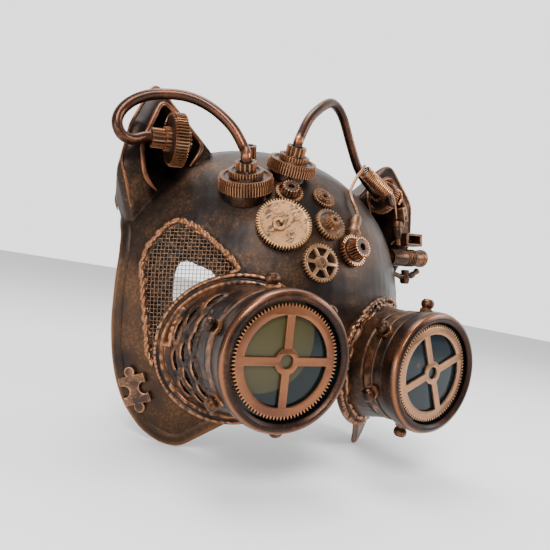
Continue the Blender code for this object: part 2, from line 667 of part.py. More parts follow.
def tube_route(side):
    """Centre line of a tube, from the forehead stack's socket to the ear stack's."""
    name = f"gear_stack_{side}"
    seat, axis, lift, _, tiers, _, _ = FOREHEAD_GEARS[name]
    start = seat_matrix(seat, axis, lift)
    foot = tiers[-1][4] * MM - SOCKET_DEPTH + GAP
    end = ear_gear_matrix(side)
    if EAR_GEAR_MOUTH[side] == "low":
        socket, outward = EAR_GEAR_TIERS[side][0][3] * MM + SOCKET_DEPTH - GAP, -1
    else:
        socket, outward = EAR_GEAR_TIERS[side][-1][4] * MM - SOCKET_DEPTH + GAP, 1
    knots = [start @ Vector((0, 0, foot)), start @ Vector((0, 0, foot + 5 * MM))]
    knots = [k / MM for k in knots] + [Vector(p) for p in TUBE_ROUTES[side]]
    knots += [end @ Vector((0, 0, socket + outward * 4.5 * MM)) / MM, end @ Vector((0, 0, socket)) / MM]
    return smooth_route(knots, TUBE_STEP)


def rod(name, start, end, radius, finish, end_radius=None, sides=14):
    """Round bar between two points in millimetres."""
    a, b = Vector(start) * MM, Vector(end) * MM
    tip = radius if end_radius is None else end_radius
    profile = ((0, 0), (radius * MM, 0), (tip * MM, (b - a).length), (0, (b - a).length))
    return turned(name, profile, finish, aim(a, b - a), sides)


def coil_spring():
    """Open helix between the wire to the forehead and the wires to the temple."""
    a, b = (Vector(p) * MM for p in SPRING_ENDS)
    matrix, length = aim(a, b - a), (b - a).length
    points = []
    steps = SPRING_TURNS * 8
    for i in range(steps + 1):
        angle = 2 * pi * SPRING_TURNS * i / steps
        points.append(matrix @ Vector((SPRING_R * cos(angle), SPRING_R * sin(angle), length * i / steps)))
    tube("coil_spring", points, SPRING_WIRE_R, "bright_copper", 0)


def lead_wire():
    """Stiff wire from the spring's near end down to the forehead ferrule."""
    tube("lead_wire", smooth_route(LEAD_ROUTE, WIRE_STEP), LEAD_R, "bright_copper", 1)


def wire_ferrule(skin):
    body = rod("wire_ferrule", FERRULE_TOP, FERRULE_FOOT, 2.9, "rose_brass", 2.9)
    top, foot = Vector(FERRULE_TOP), Vector(FERRULE_FOOT)
    down = (foot - top).normalized()
    join(body, rod("ferrule_shoe", foot - down * 3.2, foot + down * 0.6, 2.2, "rose_brass", 4.2))
    cut(body, skin)


# ---------------------------------------------------------------- +X temple group

def temple_wires(skin):
    """Sleeve, wires, plug and clip that lead from the spring to the edge of the temple."""
    rod("spring_sleeve", (55.7, 22.3, 97.9), (59.5, 22.3, 91.8), 2.2, "rose_brass", 1.9)
    tube("spring_wire_long", smooth_route(LONG_WIRE_ROUTE, WIRE_STEP), LEAD_R, "bright_copper", 1)
    tube("temple_hook", smooth_route(HOOK_ROUTE, WIRE_STEP), LEAD_R, "bright_copper", 1)
    plug = rod("temple_plug", (82.6, 40, 86.6), (83.4, 38, 74.5), 3.9, "rose_brass", 2.6)
    join(plug, rod("plug_collar", (83.3, 38.2, 76), (83.7, 37.3, 69), 2.0, "dark_copper"))
    cut(plug, skin)
    clip_matrix = aim(Vector((88.4, 41.2, 92.6)) * MM, (0.25, -0.9, 0.1), (-0.42, 0, 1))
    block("temple_block", (5.4 * MM, 10 * MM, 5 * MM), (0, 0, 0), "bright_copper", clip_matrix)


def temple_fittings(skin):
    """Hollow barrel, the open box bracket above it, and the knob with its lever below."""
    barrel = rod("temple_cylinder", (70, 35.4, 60), (107.4, 35.4, 65.2), 6.1, "dark_copper", 6.1, 20)
    cut(barrel, skin, rod("barrel_bore", (100, 35.4, 64.2), (111, 35.4, 65.7), 4.6, None, 4.6, 16))
    matrix = aim(Vector((95.2, 37.6, 76)) * MM, (0.05, -1, 0.1), (-0.12, 0, 1))
    box = block("temple_bracket", (15.6 * MM, 8.6 * MM, 9 * MM), (0, 0, 0), "dark_copper", matrix)
    cut(box, skin, block("bracket_hollow", (11.6 * MM, 5.4 * MM, 9 * MM), (0, 0, 3.4 * MM), None, matrix))
    knob = rod("temple_knob", (94, 36, 55), (95.4, 36, 45.4), 2.9, "dark_copper", 3.3)
    join(knob, rod("knob_stem", (70, 36, 49.6), (95, 36, 50), 1.8, "dark_copper", 1.8, 10))
    cut(knob, skin)
    rod("temple_lever", (99.6, 36, 51.4), (105.6, 36, 56.2), 2.3, "rose_brass", 2.3)


# ---------------------------------------------------------------- window, cheek plate and trim

def shell_prism(name, outline, finish=None, reach=9 * MM):
    """Prism through the shell along its normals, from an outline of (theta, phi) in degrees."""
    count = len(outline)
    points = [shell_at(t, p, -reach) for t, p in outline] + [shell_at(t, p, reach) for t, p in outline]
    middle = np.mean(np.array(outline), axis=0)
    points += [shell_at(*middle, -reach), shell_at(*middle, reach)]
    faces = []
    for i in range(count):
        j = (i + 1) % count
        faces += [(i, j, 2 * count), (count + i, 2 * count + 1, count + j), (i, count + i, count + j, j)]
    return add_mesh(name, points, faces, finish)


def inset_outline(outline, distance):
    """Outline in degrees moved inwards by a distance on the shell."""
    flat = []
    middle = np.mean(np.array(outline), axis=0)
    scale_t = (shell_at(middle[0] + 1, middle[1]) - shell_at(*middle)).length
    scale_p = (shell_at(middle[0], middle[1] + 1) - shell_at(*middle)).length
    for t, p in outline:
        flat.append(Vector((t * scale_t, p * scale_p)))
    area = sum(a.x * b.y - b.x * a.y for a, b in zip(flat, flat[1:] + flat[:1]))
    inside = 1 if area > 0 else -1
    moved = []
    for before, here, after in zip(flat[-1:] + flat[:-1], flat, flat[1:] + flat[:1]):
        d1, d2 = (here - before).normalized(), (after - here).normalized()
        n1, n2 = Vector((-d1.y, d1.x)) * inside, Vector((-d2.y, d2.x)) * inside
        both = (n1 + n2) / max(0.4, 1 + n1.dot(n2))
        point = here + both * distance
        moved.append((point.x / scale_t, point.y / scale_p))
    return moved


def window_frame(cup_space):
    """Raised bead round the window and the recessed plate inside it, with a see-through hole."""
    outline = WINDOW_OUTLINE
    frame = shell_prism("window_frame", outline, "dark_copper")
    combine(frame, dome("bead_top", BEAD_HEIGHT), "INTERSECT")
    plate = shell_prism("window_plate", inset_outline(outline, BEAD_WIDTH / 2 + GAP))
    combine(plate, dome("plate_top", GAP * 2), "INTERSECT")
    cut(plate, dome("plate_back", -WINDOW_DEPTH))
    cut(frame, dome("bead_back", GAP))
    join(frame, plate)
    recess = shell_prism("window_recess", inset_outline(outline, BEAD_WIDTH))
    cut(recess, dome("recess_floor", -WINDOW_RECESS))
    cut(frame, recess, shell_prism("window_opening", WINDOW_HOLE), cup_space)


def window_grille(cup_space):
    grille = shell_prism("window_grille", inset_outline(WINDOW_OUTLINE, BEAD_WIDTH + GAP), "grey_wire")
    combine(grille, dome("grille_top", -WINDOW_RECESS + GAP + GRILLE_THICKNESS), "INTERSECT")
    cut(grille, dome("grille_back", -WINDOW_RECESS + GAP), cup_space)


def puzzle_piece(skin):
    """Jigsaw plate: a square with tabs above and below and blanks at its two sides, laid on the cheek."""
    theta, phi = radians(PUZZLE_SEAT[0]), radians(PUZZLE_SEAT[1])
    matrix = aim(shell_point(theta, phi), shell_normal(theta, phi), (0, 0.6, 1))
    half, low, high = PUZZLE_SIZE / 2, -4 * MM, PUZZLE_THICKNESS + GAP
    size, centre = (PUZZLE_SIZE, PUZZLE_SIZE, high - low), (0, 0, (high + low) / 2)
    plate = block("puzzle_piece", size, centre, "bright_copper", matrix)
    for k, way in enumerate((1, -1)):
        up = matrix @ Matrix.Translation((0, way * (half + PUZZLE_KNOB_R * 0.6), 0))
        join(plate, disc(f"puzzle_tab_{k}", PUZZLE_KNOB_R, low, high, None, up, 12))
        across = matrix @ Matrix.Translation((way * (half - PUZZLE_KNOB_R * 0.6), 0, 0))
        cut(plate, disc(f"puzzle_blank_{k}", PUZZLE_KNOB_R, low - 1 * MM, high + 1 * MM, None, across, 12))
    cut(plate, skin)


def strap_anchor(side):
    """Slotted plate held flat against the inside of the temple."""
    theta, phi = radians(SIGN[side] * STRAP_SEAT[0]), radians(STRAP_SEAT[1])
    normal = shell_normal(theta, phi)
    matrix = aim(shell_point(theta, phi) - normal * (SHELL_WALL + STRAP_STANDOFF), -normal)
    thickness, width, height = STRAP_ANCHOR_SIZE
    plate = block(f"strap_anchor_{side}", (width, height, thickness), (0, 0, thickness / 2), "dark_copper", matrix)
    slot = block(f"strap_slot_{side}", (*STRAP_SLOT, 3 * thickness), (0, 0, thickness / 2), None, matrix)
    cut(plate, slot)


# ---------------------------------------------------------------- build

def build_shell():
    shell = dome("mask_shell", 0.0)
    for side in SIGN:
        join(shell, stretch_over(f"ear_form_{side}", EAR_FORM, SIGN[side]))
    cut(shell, dome("face_hollow", -SHELL_WALL, 2.0, SHELL_CENTRE_Y + 70 * MM))
    for side in SIGN:
        scoop = stretch_over(f"ear_scoop_{side}", EAR_SCOOP, SIGN[side])
        cut(scoop, dome(f"scoop_floor_{side}", -0.2 * MM, 1.0))
        cut(shell, scoop)
    cut(shell, side_trim(), nose_trim())
    for side in SIGN:
        cut(shell, disc(f"eye_hole_{side}", EYE_HOLE_R, -90 * MM, 0, None, eye_matrix(side), 28))
    window = shell_prism("window_cut", inset_outline(WINDOW_OUTLINE, BEAD_WIDTH / 2))
    cut(window, cup_loft("flange_shadow", "left", FLANGE_WIDTH, 0, CUP_DEPTH * CUP_REACH))
    cut(shell, window)


def main():
    clear_scene()
    build_shell()
    skin = dome("skin", GAP)
    flange_skin = dome("flange_skin", FLANGE_THICKNESS)
    for side in SIGN:
        goggle_cup(side, skin, flange_skin)
        vent_screen(side, skin)
        goggle_collar(side)
        collar_knobs(side)
        bezel_ring(side)
        cog_insert(side)
        goggle_inner_parts(side)
        ear_gears(side, skin)
        tube(f"tube_{side}", tube_route(side), TUBE_R, "bright_copper")
        strap_anchor(side)
    for name in FOREHEAD_GEARS:
        forehead_gear(name, skin)
    spoked_gear(skin)
    cup_space = cup_loft("cup_space", "left", FLANGE_WIDTH + GAP, 0, CUP_DEPTH * CUP_REACH)
    window_frame(cup_space)
    window_grille(cup_space)
    puzzle_piece(skin)
    coil_spring()
    lead_wire()
    wire_ferrule(skin)
    temple_wires(skin)
    temple_fittings(skin)


main()
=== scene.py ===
"""Looks for a steampunk cat half-mask: worn copper shell, screw-off goggles, clock gears, tubes and wires.

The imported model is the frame. Every piece is made in the frame's own axes, in metres: +Z up, the face looks
along -Y and +X is the viewer's right. "left" pieces are at -X and "right" pieces at +X.
"""

import logging
from dataclasses import dataclass
from enum import Enum
from math import atan2, cos, pi, radians, sin, sqrt
from typing import Any, Callable, Optional, Sequence, Union

import bmesh
import bpy
import numpy as np
from mathutils import Matrix, Vector
from mathutils.kdtree import KDTree

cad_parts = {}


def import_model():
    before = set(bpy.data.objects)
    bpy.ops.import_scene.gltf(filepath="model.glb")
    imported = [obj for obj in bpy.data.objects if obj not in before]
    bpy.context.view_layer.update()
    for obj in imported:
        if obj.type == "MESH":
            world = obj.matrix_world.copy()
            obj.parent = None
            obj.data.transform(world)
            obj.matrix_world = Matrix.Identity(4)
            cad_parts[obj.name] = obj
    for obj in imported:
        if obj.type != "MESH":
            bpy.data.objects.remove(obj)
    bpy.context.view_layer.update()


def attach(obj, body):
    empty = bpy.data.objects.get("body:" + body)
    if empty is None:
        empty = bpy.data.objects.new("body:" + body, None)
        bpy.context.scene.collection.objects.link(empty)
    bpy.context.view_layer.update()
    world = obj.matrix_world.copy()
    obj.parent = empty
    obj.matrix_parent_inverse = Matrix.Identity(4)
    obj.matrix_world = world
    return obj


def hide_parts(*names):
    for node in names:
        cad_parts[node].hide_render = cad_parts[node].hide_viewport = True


LOG = logging.getLogger("cat_mask")
MM = 0.001
Point = Union[Vector, Sequence[float]]
Loop = Sequence[Sequence[float]]
Piece = bpy.types.Object
Array = np.ndarray


class Side(Enum):
    """The two halves of the mask, by the viewer's hand."""

    LEFT = "left"
    RIGHT = "right"

    @property
    def sign(self) -> int:
        """-1 at -X, 1 at +X."""
        return -1 if self is Side.LEFT else 1


# ---------------------------------------------------------------- node helpers


class Value:
    """A socket that takes part in Python expressions."""

    def __init__(self, socket: bpy.types.NodeSocket) -> None:
        """Wraps a number's output socket."""
        self.socket = socket

    def _math(self, operation: str, *others: Any) -> "Value":
        """Adds one Math node.

        Args:
            operation: the node's operation.
            others: its values, sockets or wrapped sockets, in order.

        Returns:
            The node's result.
        """
        tree = self.socket.id_data
        node = tree.nodes.new("ShaderNodeMath")
        node.operation = operation
        for slot, item in zip(node.inputs, others):
            if isinstance(item, Value):
                tree.links.new(item.socket, slot)
            else:
                slot.default_value = item
        return Value(node.outputs[0])

    def __add__(self, other: Any) -> "Value":
        """Sum."""
        return self._math("ADD", self, other)

    def __sub__(self, other: Any) -> "Value":
        """Difference."""
        return self._math("SUBTRACT", self, other)

    def __rsub__(self, other: Any) -> "Value":
        """Reflected difference."""
        return self._math("SUBTRACT", other, self)

    def __mul__(self, other: Any) -> "Value":
        """Product."""
        return self._math("MULTIPLY", self, other)

    def __truediv__(self, other: Any) -> "Value":
        """Quotient."""
        return self._math("DIVIDE", self, other)

    __radd__ = __add__
    __rmul__ = __mul__

    def power(self, exponent: float) -> "Value":
        """Raised to an exponent."""
        return self._math("POWER", self, exponent)

    def clamped(self) -> "Value":
        """Kept between 0 and 1."""
        return self._math("MINIMUM", self._math("MAXIMUM", self, 0.0), 1.0)

    def step(self, low: float, high: float) -> "Value":
        """Smooth rise from 0 at low to 1 at high."""
        tree = self.socket.id_data
        node = tree.nodes.new("ShaderNodeMapRange")
        node.interpolation_type = "SMOOTHSTEP"
        tree.links.new(self.socket, node.inputs["Value"])
        node.inputs["From Min"].default_value = low
        node.inputs["From Max"].default_value = high
        return Value(node.outputs["Result"])


def add_node(tree: bpy.types.NodeTree, kind: str, settings: Optional[dict] = None,
             inputs: Optional[dict] = None) -> bpy.types.Node:
    """Adds a node: its settings first, then its sockets.

    Args:
        tree: the shader or geometry tree.
        kind: the node's type.
        settings: attributes by name.
        inputs: values, sockets or wrapped sockets, by the input's name or number.

    Returns:
        The node.
    """
    node = tree.nodes.new(kind)
    for name, value in (settings or {}).items():
        setattr(node, name, value)
    for key, value in (inputs or {}).items():
        slot = node.inputs[key]
        if isinstance(value, Value):
            tree.links.new(value.socket, slot)
        elif isinstance(value, bpy.types.NodeSocket):
            tree.links.new(value, slot)
        else:
            slot.default_value = value
    return node


# ---------------------------------------------------------------- finishes

Colour = tuple[float, float, float]


@dataclass(frozen=True)
class Finish:
    """A worn metal-look finish: a body colour, a darker patina, and a bright rubbed colour on raised edges."""

    name: str
    body: Colour
    patina: Colour
    rubbed: Colour
    roughness: float = 0.42
    metallic: float = 0.75
    mottle: float = 60.0
    grain: float = 900.0
    bump: float = 0.25
    wear: float = 1.0
    spread: tuple[float, float] = (0.42, 0.62)
    streaks: float = 0.0
    inside: Optional[Colour] = None

    def material(self) -> bpy.types.Material:
        """The node material, made once.

        Returns:
            The material named after the finish.
        """
        title = f"look_{self.name}"
        made = bpy.data.materials.get(title)
        if made:
            return made
        made = bpy.data.materials.new(title)
        made.use_nodes = True
        tree = made.node_tree
        shader = tree.nodes["Principled BSDF"]
        place = add_node(tree, "ShaderNodeTexCoord").outputs["Object"]
        mottle = self.noise(tree, place, self.mottle, 6.0, 0.62)
        broad = self.noise(tree, place, self.mottle * 0.28, 3.0, 0.5)
        grain = self.noise(tree, place, self.grain, 3.0, 0.6)
        wear = Value(add_node(tree, "ShaderNodeAttribute", {"attribute_name": "wear"}).outputs["Fac"])
        soot_and_shade = Value(add_node(tree, "ShaderNodeAttribute", {"attribute_name": "soot_and_shade"}).outputs["Fac"])
        blotch = (mottle * 0.6 + broad * 0.4).step(*self.spread)
        body, rubbed = (tuple(v * t for v, t in zip(c, (0.98, 0.86, 0.70))) for c in (self.body, self.rubbed))
        colour = self.mix(tree, blotch, self.patina, body)
        speck = (grain * 0.5 + mottle * 0.5).step(0.50, 0.66)
        colour = self.mix(tree, speck * 0.32, colour, rubbed)
        if self.streaks:
            stretched = add_node(tree, "ShaderNodeMapping", inputs={"Vector": place, "Scale": (1.0, 6.0, 1.0)})
            lines = self.noise(tree, stretched.outputs[0], self.mottle * 1.6, 4.0, 0.7).step(0.51, 0.60)
            colour = self.mix(tree, lines * self.streaks, colour, self.patina)
        rub = (wear * self.wear * (0.45 + mottle * 0.9)).step(0.12, 0.7)
        colour = self.mix(tree, rub, colour, rubbed)
        # The soot attribute carries grime and painted shade from hollows and undersides; it darkens the colour here.
        grime_and_shade = (soot_and_shade * (0.55 + mottle * 0.8)).clamped()
        colour = self.mix(tree, grime_and_shade * 0.85, colour, tuple(c * 0.22 for c in self.patina))
        rough = self.roughness + (mottle - 0.5) * 0.28 + grime_and_shade * 0.25 - rub * 0.08
        shine = self.metallic + grime_and_shade * 0.2
        if self.inside:
            hidden = Value(add_node(tree, "ShaderNodeAttribute", {"attribute_name": "inner"}).outputs["Fac"])
            hidden = hidden.step(0.3, 0.7)
            colour = self.mix(tree, hidden, colour, self.inside)
            rough = rough + hidden * 0.25
            shine = shine * (1 - hidden)
        tree.links.new(colour, shader.inputs["Base Color"])
        tree.links.new(rough.clamped().socket, shader.inputs["Roughness"])
        tree.links.new(shine.clamped().socket, shader.inputs["Metallic"])
        height = mottle * 0.6 + grain * 0.4 - grime_and_shade * 0.3
        bump = add_node(tree, "ShaderNodeBump", inputs={"Strength": self.bump, "Distance": 0.3 * MM, "Height": height})
        tree.links.new(bump.outputs[0], shader.inputs["Normal"])
        return made

    @staticmethod
    def noise(tree: bpy.types.NodeTree, place: Any, scale: float, detail: float, rough: float) -> Value:
        """A noise value over the object's own coordinates."""
        node = add_node(tree, "ShaderNodeTexNoise", {"noise_dimensions": "3D"},
                        {"Vector": place, "Scale": scale, "Detail": detail, "Roughness": rough})
        return Value(node.outputs["Fac"])

    @staticmethod
    def mix(tree: bpy.types.NodeTree, share: Value, first: Any, second: Any) -> bpy.types.NodeSocket:
        """A colour mix.

        Args:
            tree: the material's tree.
            share: how much of the second colour shows.
            first: colour or socket.
            second: colour or socket.

        Returns:
            The mixed colour's socket.
        """
        node = add_node(tree, "ShaderNodeMix", {"data_type": "RGBA"}, {0: share})
        for slot, item in ((node.inputs[6], first), (node.inputs[7], second)):
            if isinstance(item, bpy.types.NodeSocket):
                tree.links.new(item, slot)
            else:
                slot.default_value = (*item, 1.0)
        return node.outputs[2]


SHELL = Finish("aged_shell_paint", (0.052, 0.032, 0.022), (0.016, 0.012, 0.011), (0.21, 0.105, 0.055), 0.46, 0.85,
               38, 700, 0.30, 0.95, (0.38, 0.62), 0.0, (0.010, 0.009, 0.008))
RIDGE = Finish("ear_ridge_copper", (0.20, 0.085, 0.042), (0.060, 0.030, 0.020), (0.40, 0.19, 0.10), 0.34, 0.80, 90,
               800, 0.25, 1.0, (0.36, 0.60))
CUP = Finish("cup_copper_paint", (0.080, 0.042, 0.026), (0.020, 0.014, 0.012), (0.34, 0.165, 0.090), 0.38, 0.70, 85,
             800, 0.35, 1.0, (0.42, 0.62))
COLLAR = Finish("collar_worn_copper", (0.060, 0.036, 0.026), (0.020, 0.015, 0.013), (0.24, 0.125, 0.078), 0.42, 0.68,
                150, 1100, 0.55, 1.0, (0.38, 0.60))
BEZEL = Finish("bezel_bronze", (0.044, 0.022, 0.015), (0.018, 0.011, 0.009), (0.24, 0.105, 0.058), 0.33, 0.80, 60,
               900, 0.16, 1.0, (0.36, 0.64))
KNOB = Finish("knob_brass", (0.105, 0.048, 0.027), (0.032, 0.018, 0.013), (0.38, 0.19, 0.105), 0.33, 0.82, 160, 900,
              0.2)
ROSE = Finish("rose_brass_cog", (0.30, 0.165, 0.098), (0.19, 0.098, 0.058), (0.48, 0.28, 0.175), 0.32, 0.72, 60, 900,
              0.08, 1.0, (0.30, 0.70))
COG_LEFT = Finish("rose_brass_cog_warm", (0.170, 0.066, 0.032), (0.080, 0.028, 0.015), (0.30, 0.135, 0.074), 0.32,
                  0.7, 34, 900, 0.08, 1.0, (0.42, 0.58))
BEIGE = Finish("beige_gear_brass", (0.40, 0.225, 0.115), (0.060, 0.040, 0.028), (0.55, 0.34, 0.19), 0.40, 0.60, 120,
               900, 0.25, 1.0, (0.37, 0.48), 0.95)
MIDDLE = Finish("small_gear_bronze", (0.24, 0.130, 0.073), (0.060, 0.036, 0.026), (0.52, 0.32, 0.19), 0.38, 0.7, 140,
                900, 0.3)
GEAR_DARK = Finish("gear_dark_bronze", (0.075, 0.036, 0.021), (0.020, 0.013, 0.010), (0.40, 0.205, 0.115), 0.36, 0.78,
                   140, 900, 0.3)
STACK = Finish("gear_stack_bronze", (0.058, 0.028, 0.017), (0.018, 0.012, 0.010), (0.30, 0.150, 0.085), 0.38, 0.78,
               120, 900, 0.3)
TUBE = Finish("tube_copper", (0.125, 0.047, 0.024), (0.048, 0.022, 0.014), (0.34, 0.145, 0.075), 0.30, 0.80, 45, 900,
              0.10)
BEAD = Finish("window_bead_copper", (0.050, 0.027, 0.018), (0.014, 0.010, 0.008), (0.27, 0.135, 0.076), 0.44, 0.75,
              190, 900, 0.5)
BARK = Finish("charred_copper_bark", (0.045, 0.024, 0.016), (0.010, 0.008, 0.007), (0.32, 0.150, 0.080), 0.5, 0.60,
              260, 900, 0.7, 1.0, (0.42, 0.62))
WIRE = Finish("woven_grey_wire", (0.11, 0.080, 0.062), (0.045, 0.033, 0.027), (0.26, 0.185, 0.140), 0.38, 0.80, 150,
              900, 0.1)
CLOTH = Finish("window_wire_cloth", (0.085, 0.058, 0.044), (0.028, 0.020, 0.016), (0.24, 0.16, 0.118), 0.40, 0.80, 60,
               900, 0.1)
JIGSAW = Finish("jigsaw_copper", (0.150, 0.078, 0.045), (0.040, 0.024, 0.018), (0.38, 0.205, 0.120), 0.42, 0.70, 170,
                900, 0.6)
SPRING = Finish("spring_copper", (0.120, 0.056, 0.032), (0.030, 0.018, 0.013), (0.38, 0.190, 0.105), 0.34, 0.82, 140,
                900, 0.15)
FITTING = Finish("fitting_copper", (0.125, 0.058, 0.033), (0.030, 0.018, 0.013), (0.40, 0.205, 0.115), 0.36, 0.80,
                 110, 900, 0.25)
RUBBER = Finish("seal_rubber", (0.022, 0.022, 0.022), (0.014, 0.014, 0.014), (0.04, 0.04, 0.04), 0.75, 0.0, 200, 1500,
                0.3)
PLATE = Finish("strap_plate_black", (0.035, 0.031, 0.029), (0.02, 0.018, 0.017), (0.07, 0.06, 0.055), 0.6, 0.0, 150,
               1500, 0.3)


@dataclass(frozen=True)
class LensFinish:
    """Dark coated glass with a painted reflection: a coloured patch that covers one part of the disc."""

    name: str
    glass: Colour
    painted_reflection: Colour
    centre: Colour
    reach: float

    def material(self) -> bpy.types.Material:
        """The node material.

        Returns:
            The lens material.
        """
        made = bpy.data.materials.new(f"look_{self.name}")
        made.use_nodes = True
        tree = made.node_tree
        shader = tree.nodes["Principled BSDF"]
        place = add_node(tree, "ShaderNodeTexCoord").outputs["Object"]
        away = add_node(tree, "ShaderNodeVectorMath", {"operation": "DISTANCE"}, {0: place, 1: self.centre})
        wave = Finish.noise(tree, place, 30.0, 2.0, 0.4)
        # Painted reflection: a coloured patch round the centre, out to the reach, stands for the surroundings mirrored
        # in the glass.
        painted_reflection = 1 - (Value(away.outputs["Value"]) / MM + wave * 1.2).step(self.reach, self.reach + 0.8)
        soft = (Value(away.outputs["Value"]) / MM).step(self.reach * 0.55, self.reach)
        colour = Finish.mix(tree, painted_reflection * (1 - soft * 0.25), self.glass, self.painted_reflection)
        tree.links.new(colour, shader.inputs["Base Color"])
        tree.links.new((0.07 + painted_reflection * 0.1 + wave * 0.03).socket, shader.inputs["Roughness"])
        shader.inputs["Metallic"].default_value = 0.0
        shader.inputs["Specular IOR Level"].default_value = 0.22
        shader.inputs["Coat Weight"].default_value = 0.05
        shader.inputs["Coat Roughness"].default_value = 0.03
        return made


# ---------------------------------------------------------------- geometry recipes


class Recipe:
    """A Geometry Nodes tree with named sizes."""

    def __init__(self, name: str) -> None:
        """Starts an empty tree with one geometry input and output."""
        self.tree = bpy.data.node_groups.new(name, "GeometryNodeTree")
        self.tree.interface.new_socket("Geometry", in_out="INPUT", socket_type="NodeSocketGeometry")
        self.tree.interface.new_socket("Geometry", in_out="OUTPUT", socket_type="NodeSocketGeometry")
        self.inlet = self.tree.nodes.new("NodeGroupInput")
        self.outlet = self.tree.nodes.new("NodeGroupOutput")
        self.keys: dict[str, str] = {}
        self.finish = self.size("Finish", "NodeSocketMaterial")

    def size(self, name: str, kind: str = "NodeSocketFloat") -> Value:
        """Adds a named input.

        Args:
            name: the input's name.
            kind: its socket type.

        Returns:
            The value inside the tree.
        """
        item = self.tree.interface.new_socket(name, in_out="INPUT", socket_type=kind)
        self.keys[name] = item.identifier
        return Value(self.inlet.outputs[name])

    def node(self, kind: str, settings: Optional[dict] = None, inputs: Optional[dict] = None) -> bpy.types.Node:
        """Adds a node to the tree."""
        return add_node(self.tree, kind, settings, inputs)

    def close(self, geometry: bpy.types.NodeSocket) -> None:
        """Ends the tree in Realize Instances and Set Material.

        Args:
            geometry: the socket that carries the finished geometry.
        """
        real = self.node("GeometryNodeRealizeInstances", inputs={"Geometry": geometry})
        dressed = self.node("GeometryNodeSetMaterial", inputs={"Geometry": real.outputs[0], "Material": self.finish})
        self.tree.links.new(dressed.outputs[0], self.outlet.inputs[0])

    def run(self, piece: Piece, finish: Finish, **sizes: Any) -> None:
        """Evaluates the tree on a piece and keeps the result as its plain mesh.

        Args:
            piece: the object whose mesh is the input.
            finish: the finish that the result gets.
            sizes: the named inputs' values, with _ for a space.
        """
        step = piece.modifiers.new(self.tree.name, "NODES")
        step.node_group = self.tree
        step[self.keys["Finish"]] = finish.material()
        for name, value in sizes.items():
            step[self.keys[name.replace("_", " ")]] = value
        seen = bpy.context.evaluated_depsgraph_get()
        seen.update()
        mesh = bpy.data.meshes.new_from_object(piece.evaluated_get(seen), depsgraph=seen)
        piece.modifiers.remove(step)
        piece.data = mesh


def toothed_rim_recipe() -> Recipe:
    """Teeth round a wheel's rim, joined to the wheel's own mesh.

    Returns:
        The recipe, with Count, Root, Depth, Width, Taper, Thickness and Middle.
    """
    recipe = Recipe("toothed_rim")
    count = recipe.size("Count", "NodeSocketInt")
    root, depth, width = recipe.size("Root"), recipe.size("Depth"), recipe.size("Width")
    taper, thickness, middle = recipe.size("Taper"), recipe.size("Thickness"), recipe.size("Middle")
    overlap = depth * 0.35
    circle = recipe.node("GeometryNodeMeshCircle",
                         inputs={"Vertices": count, "Radius": root + (depth - overlap) * 0.5})
    size = recipe.node("ShaderNodeCombineXYZ", inputs={0: depth + overlap, 1: width, 2: thickness})
    cube = recipe.node("GeometryNodeMeshCube", inputs={"Size": size.outputs[0]})
    spot = recipe.node("ShaderNodeSeparateXYZ", inputs={0: recipe.node("GeometryNodeInputPosition").outputs[0]})
    x, y, z = (Value(s) for s in spot.outputs)
    narrowed = recipe.node("ShaderNodeCombineXYZ", inputs={0: x, 1: y * (1 - taper * (x / (depth + overlap) + 0.5)),
                                                           2: z})
    tooth = recipe.node("GeometryNodeSetPosition", inputs={"Geometry": cube.outputs["Mesh"],
                                                          "Position": narrowed.outputs[0]})
    out = recipe.node("FunctionNodeAlignRotationToVector", {"axis": "X", "pivot_axis": "Z"},
                      {"Vector": recipe.node("GeometryNodeInputPosition").outputs[0]})
    teeth = recipe.node("GeometryNodeInstanceOnPoints", inputs={"Points": circle.outputs[0],
                                                               "Instance": tooth.outputs[0],
                                                               "Rotation": out.outputs[0]})
    lift = recipe.node("ShaderNodeCombineXYZ", inputs={2: middle})
    lifted = recipe.node("GeometryNodeTransform", inputs={"Geometry": teeth.outputs[0],
                                                         "Translation": lift.outputs[0]})
    both = recipe.node("GeometryNodeJoinGeometry")
    for part in (lifted.outputs[0], recipe.inlet.outputs["Geometry"]):
        recipe.tree.links.new(part, both.inputs[0])
    recipe.close(both.outputs[0])
    return recipe


def round_bar_recipe() -> Recipe:
    """Round bars along the input's edges, thinned or thickened by the points' own "thick" value.

    Returns:
        The recipe, with Radius and Sides.
    """
    recipe = Recipe("round_bars")
    radius, sides = recipe.size("Radius"), recipe.size("Sides", "NodeSocketInt")
    thick = recipe.node("GeometryNodeInputNamedAttribute", {"data_type": "FLOAT"}, {"Name": "thick"})
    lines = recipe.node("GeometryNodeMeshToCurve", inputs={"Mesh": recipe.inlet.outputs["Geometry"]})
    section = recipe.node("GeometryNodeCurvePrimitiveCircle", inputs={"Resolution": sides, "Radius": 1.0})
    bar = recipe.node("GeometryNodeCurveToMesh", inputs={"Curve": lines.outputs[0],
                                                        "Profile Curve": section.outputs[0], "Fill Caps": True,
                                                        "Scale": Value(thick.outputs[0]) * radius})
    smooth = recipe.node("GeometryNodeSetShadeSmooth", inputs={"Geometry": bar.outputs[0]})
    recipe.close(smooth.outputs[0])
    return recipe


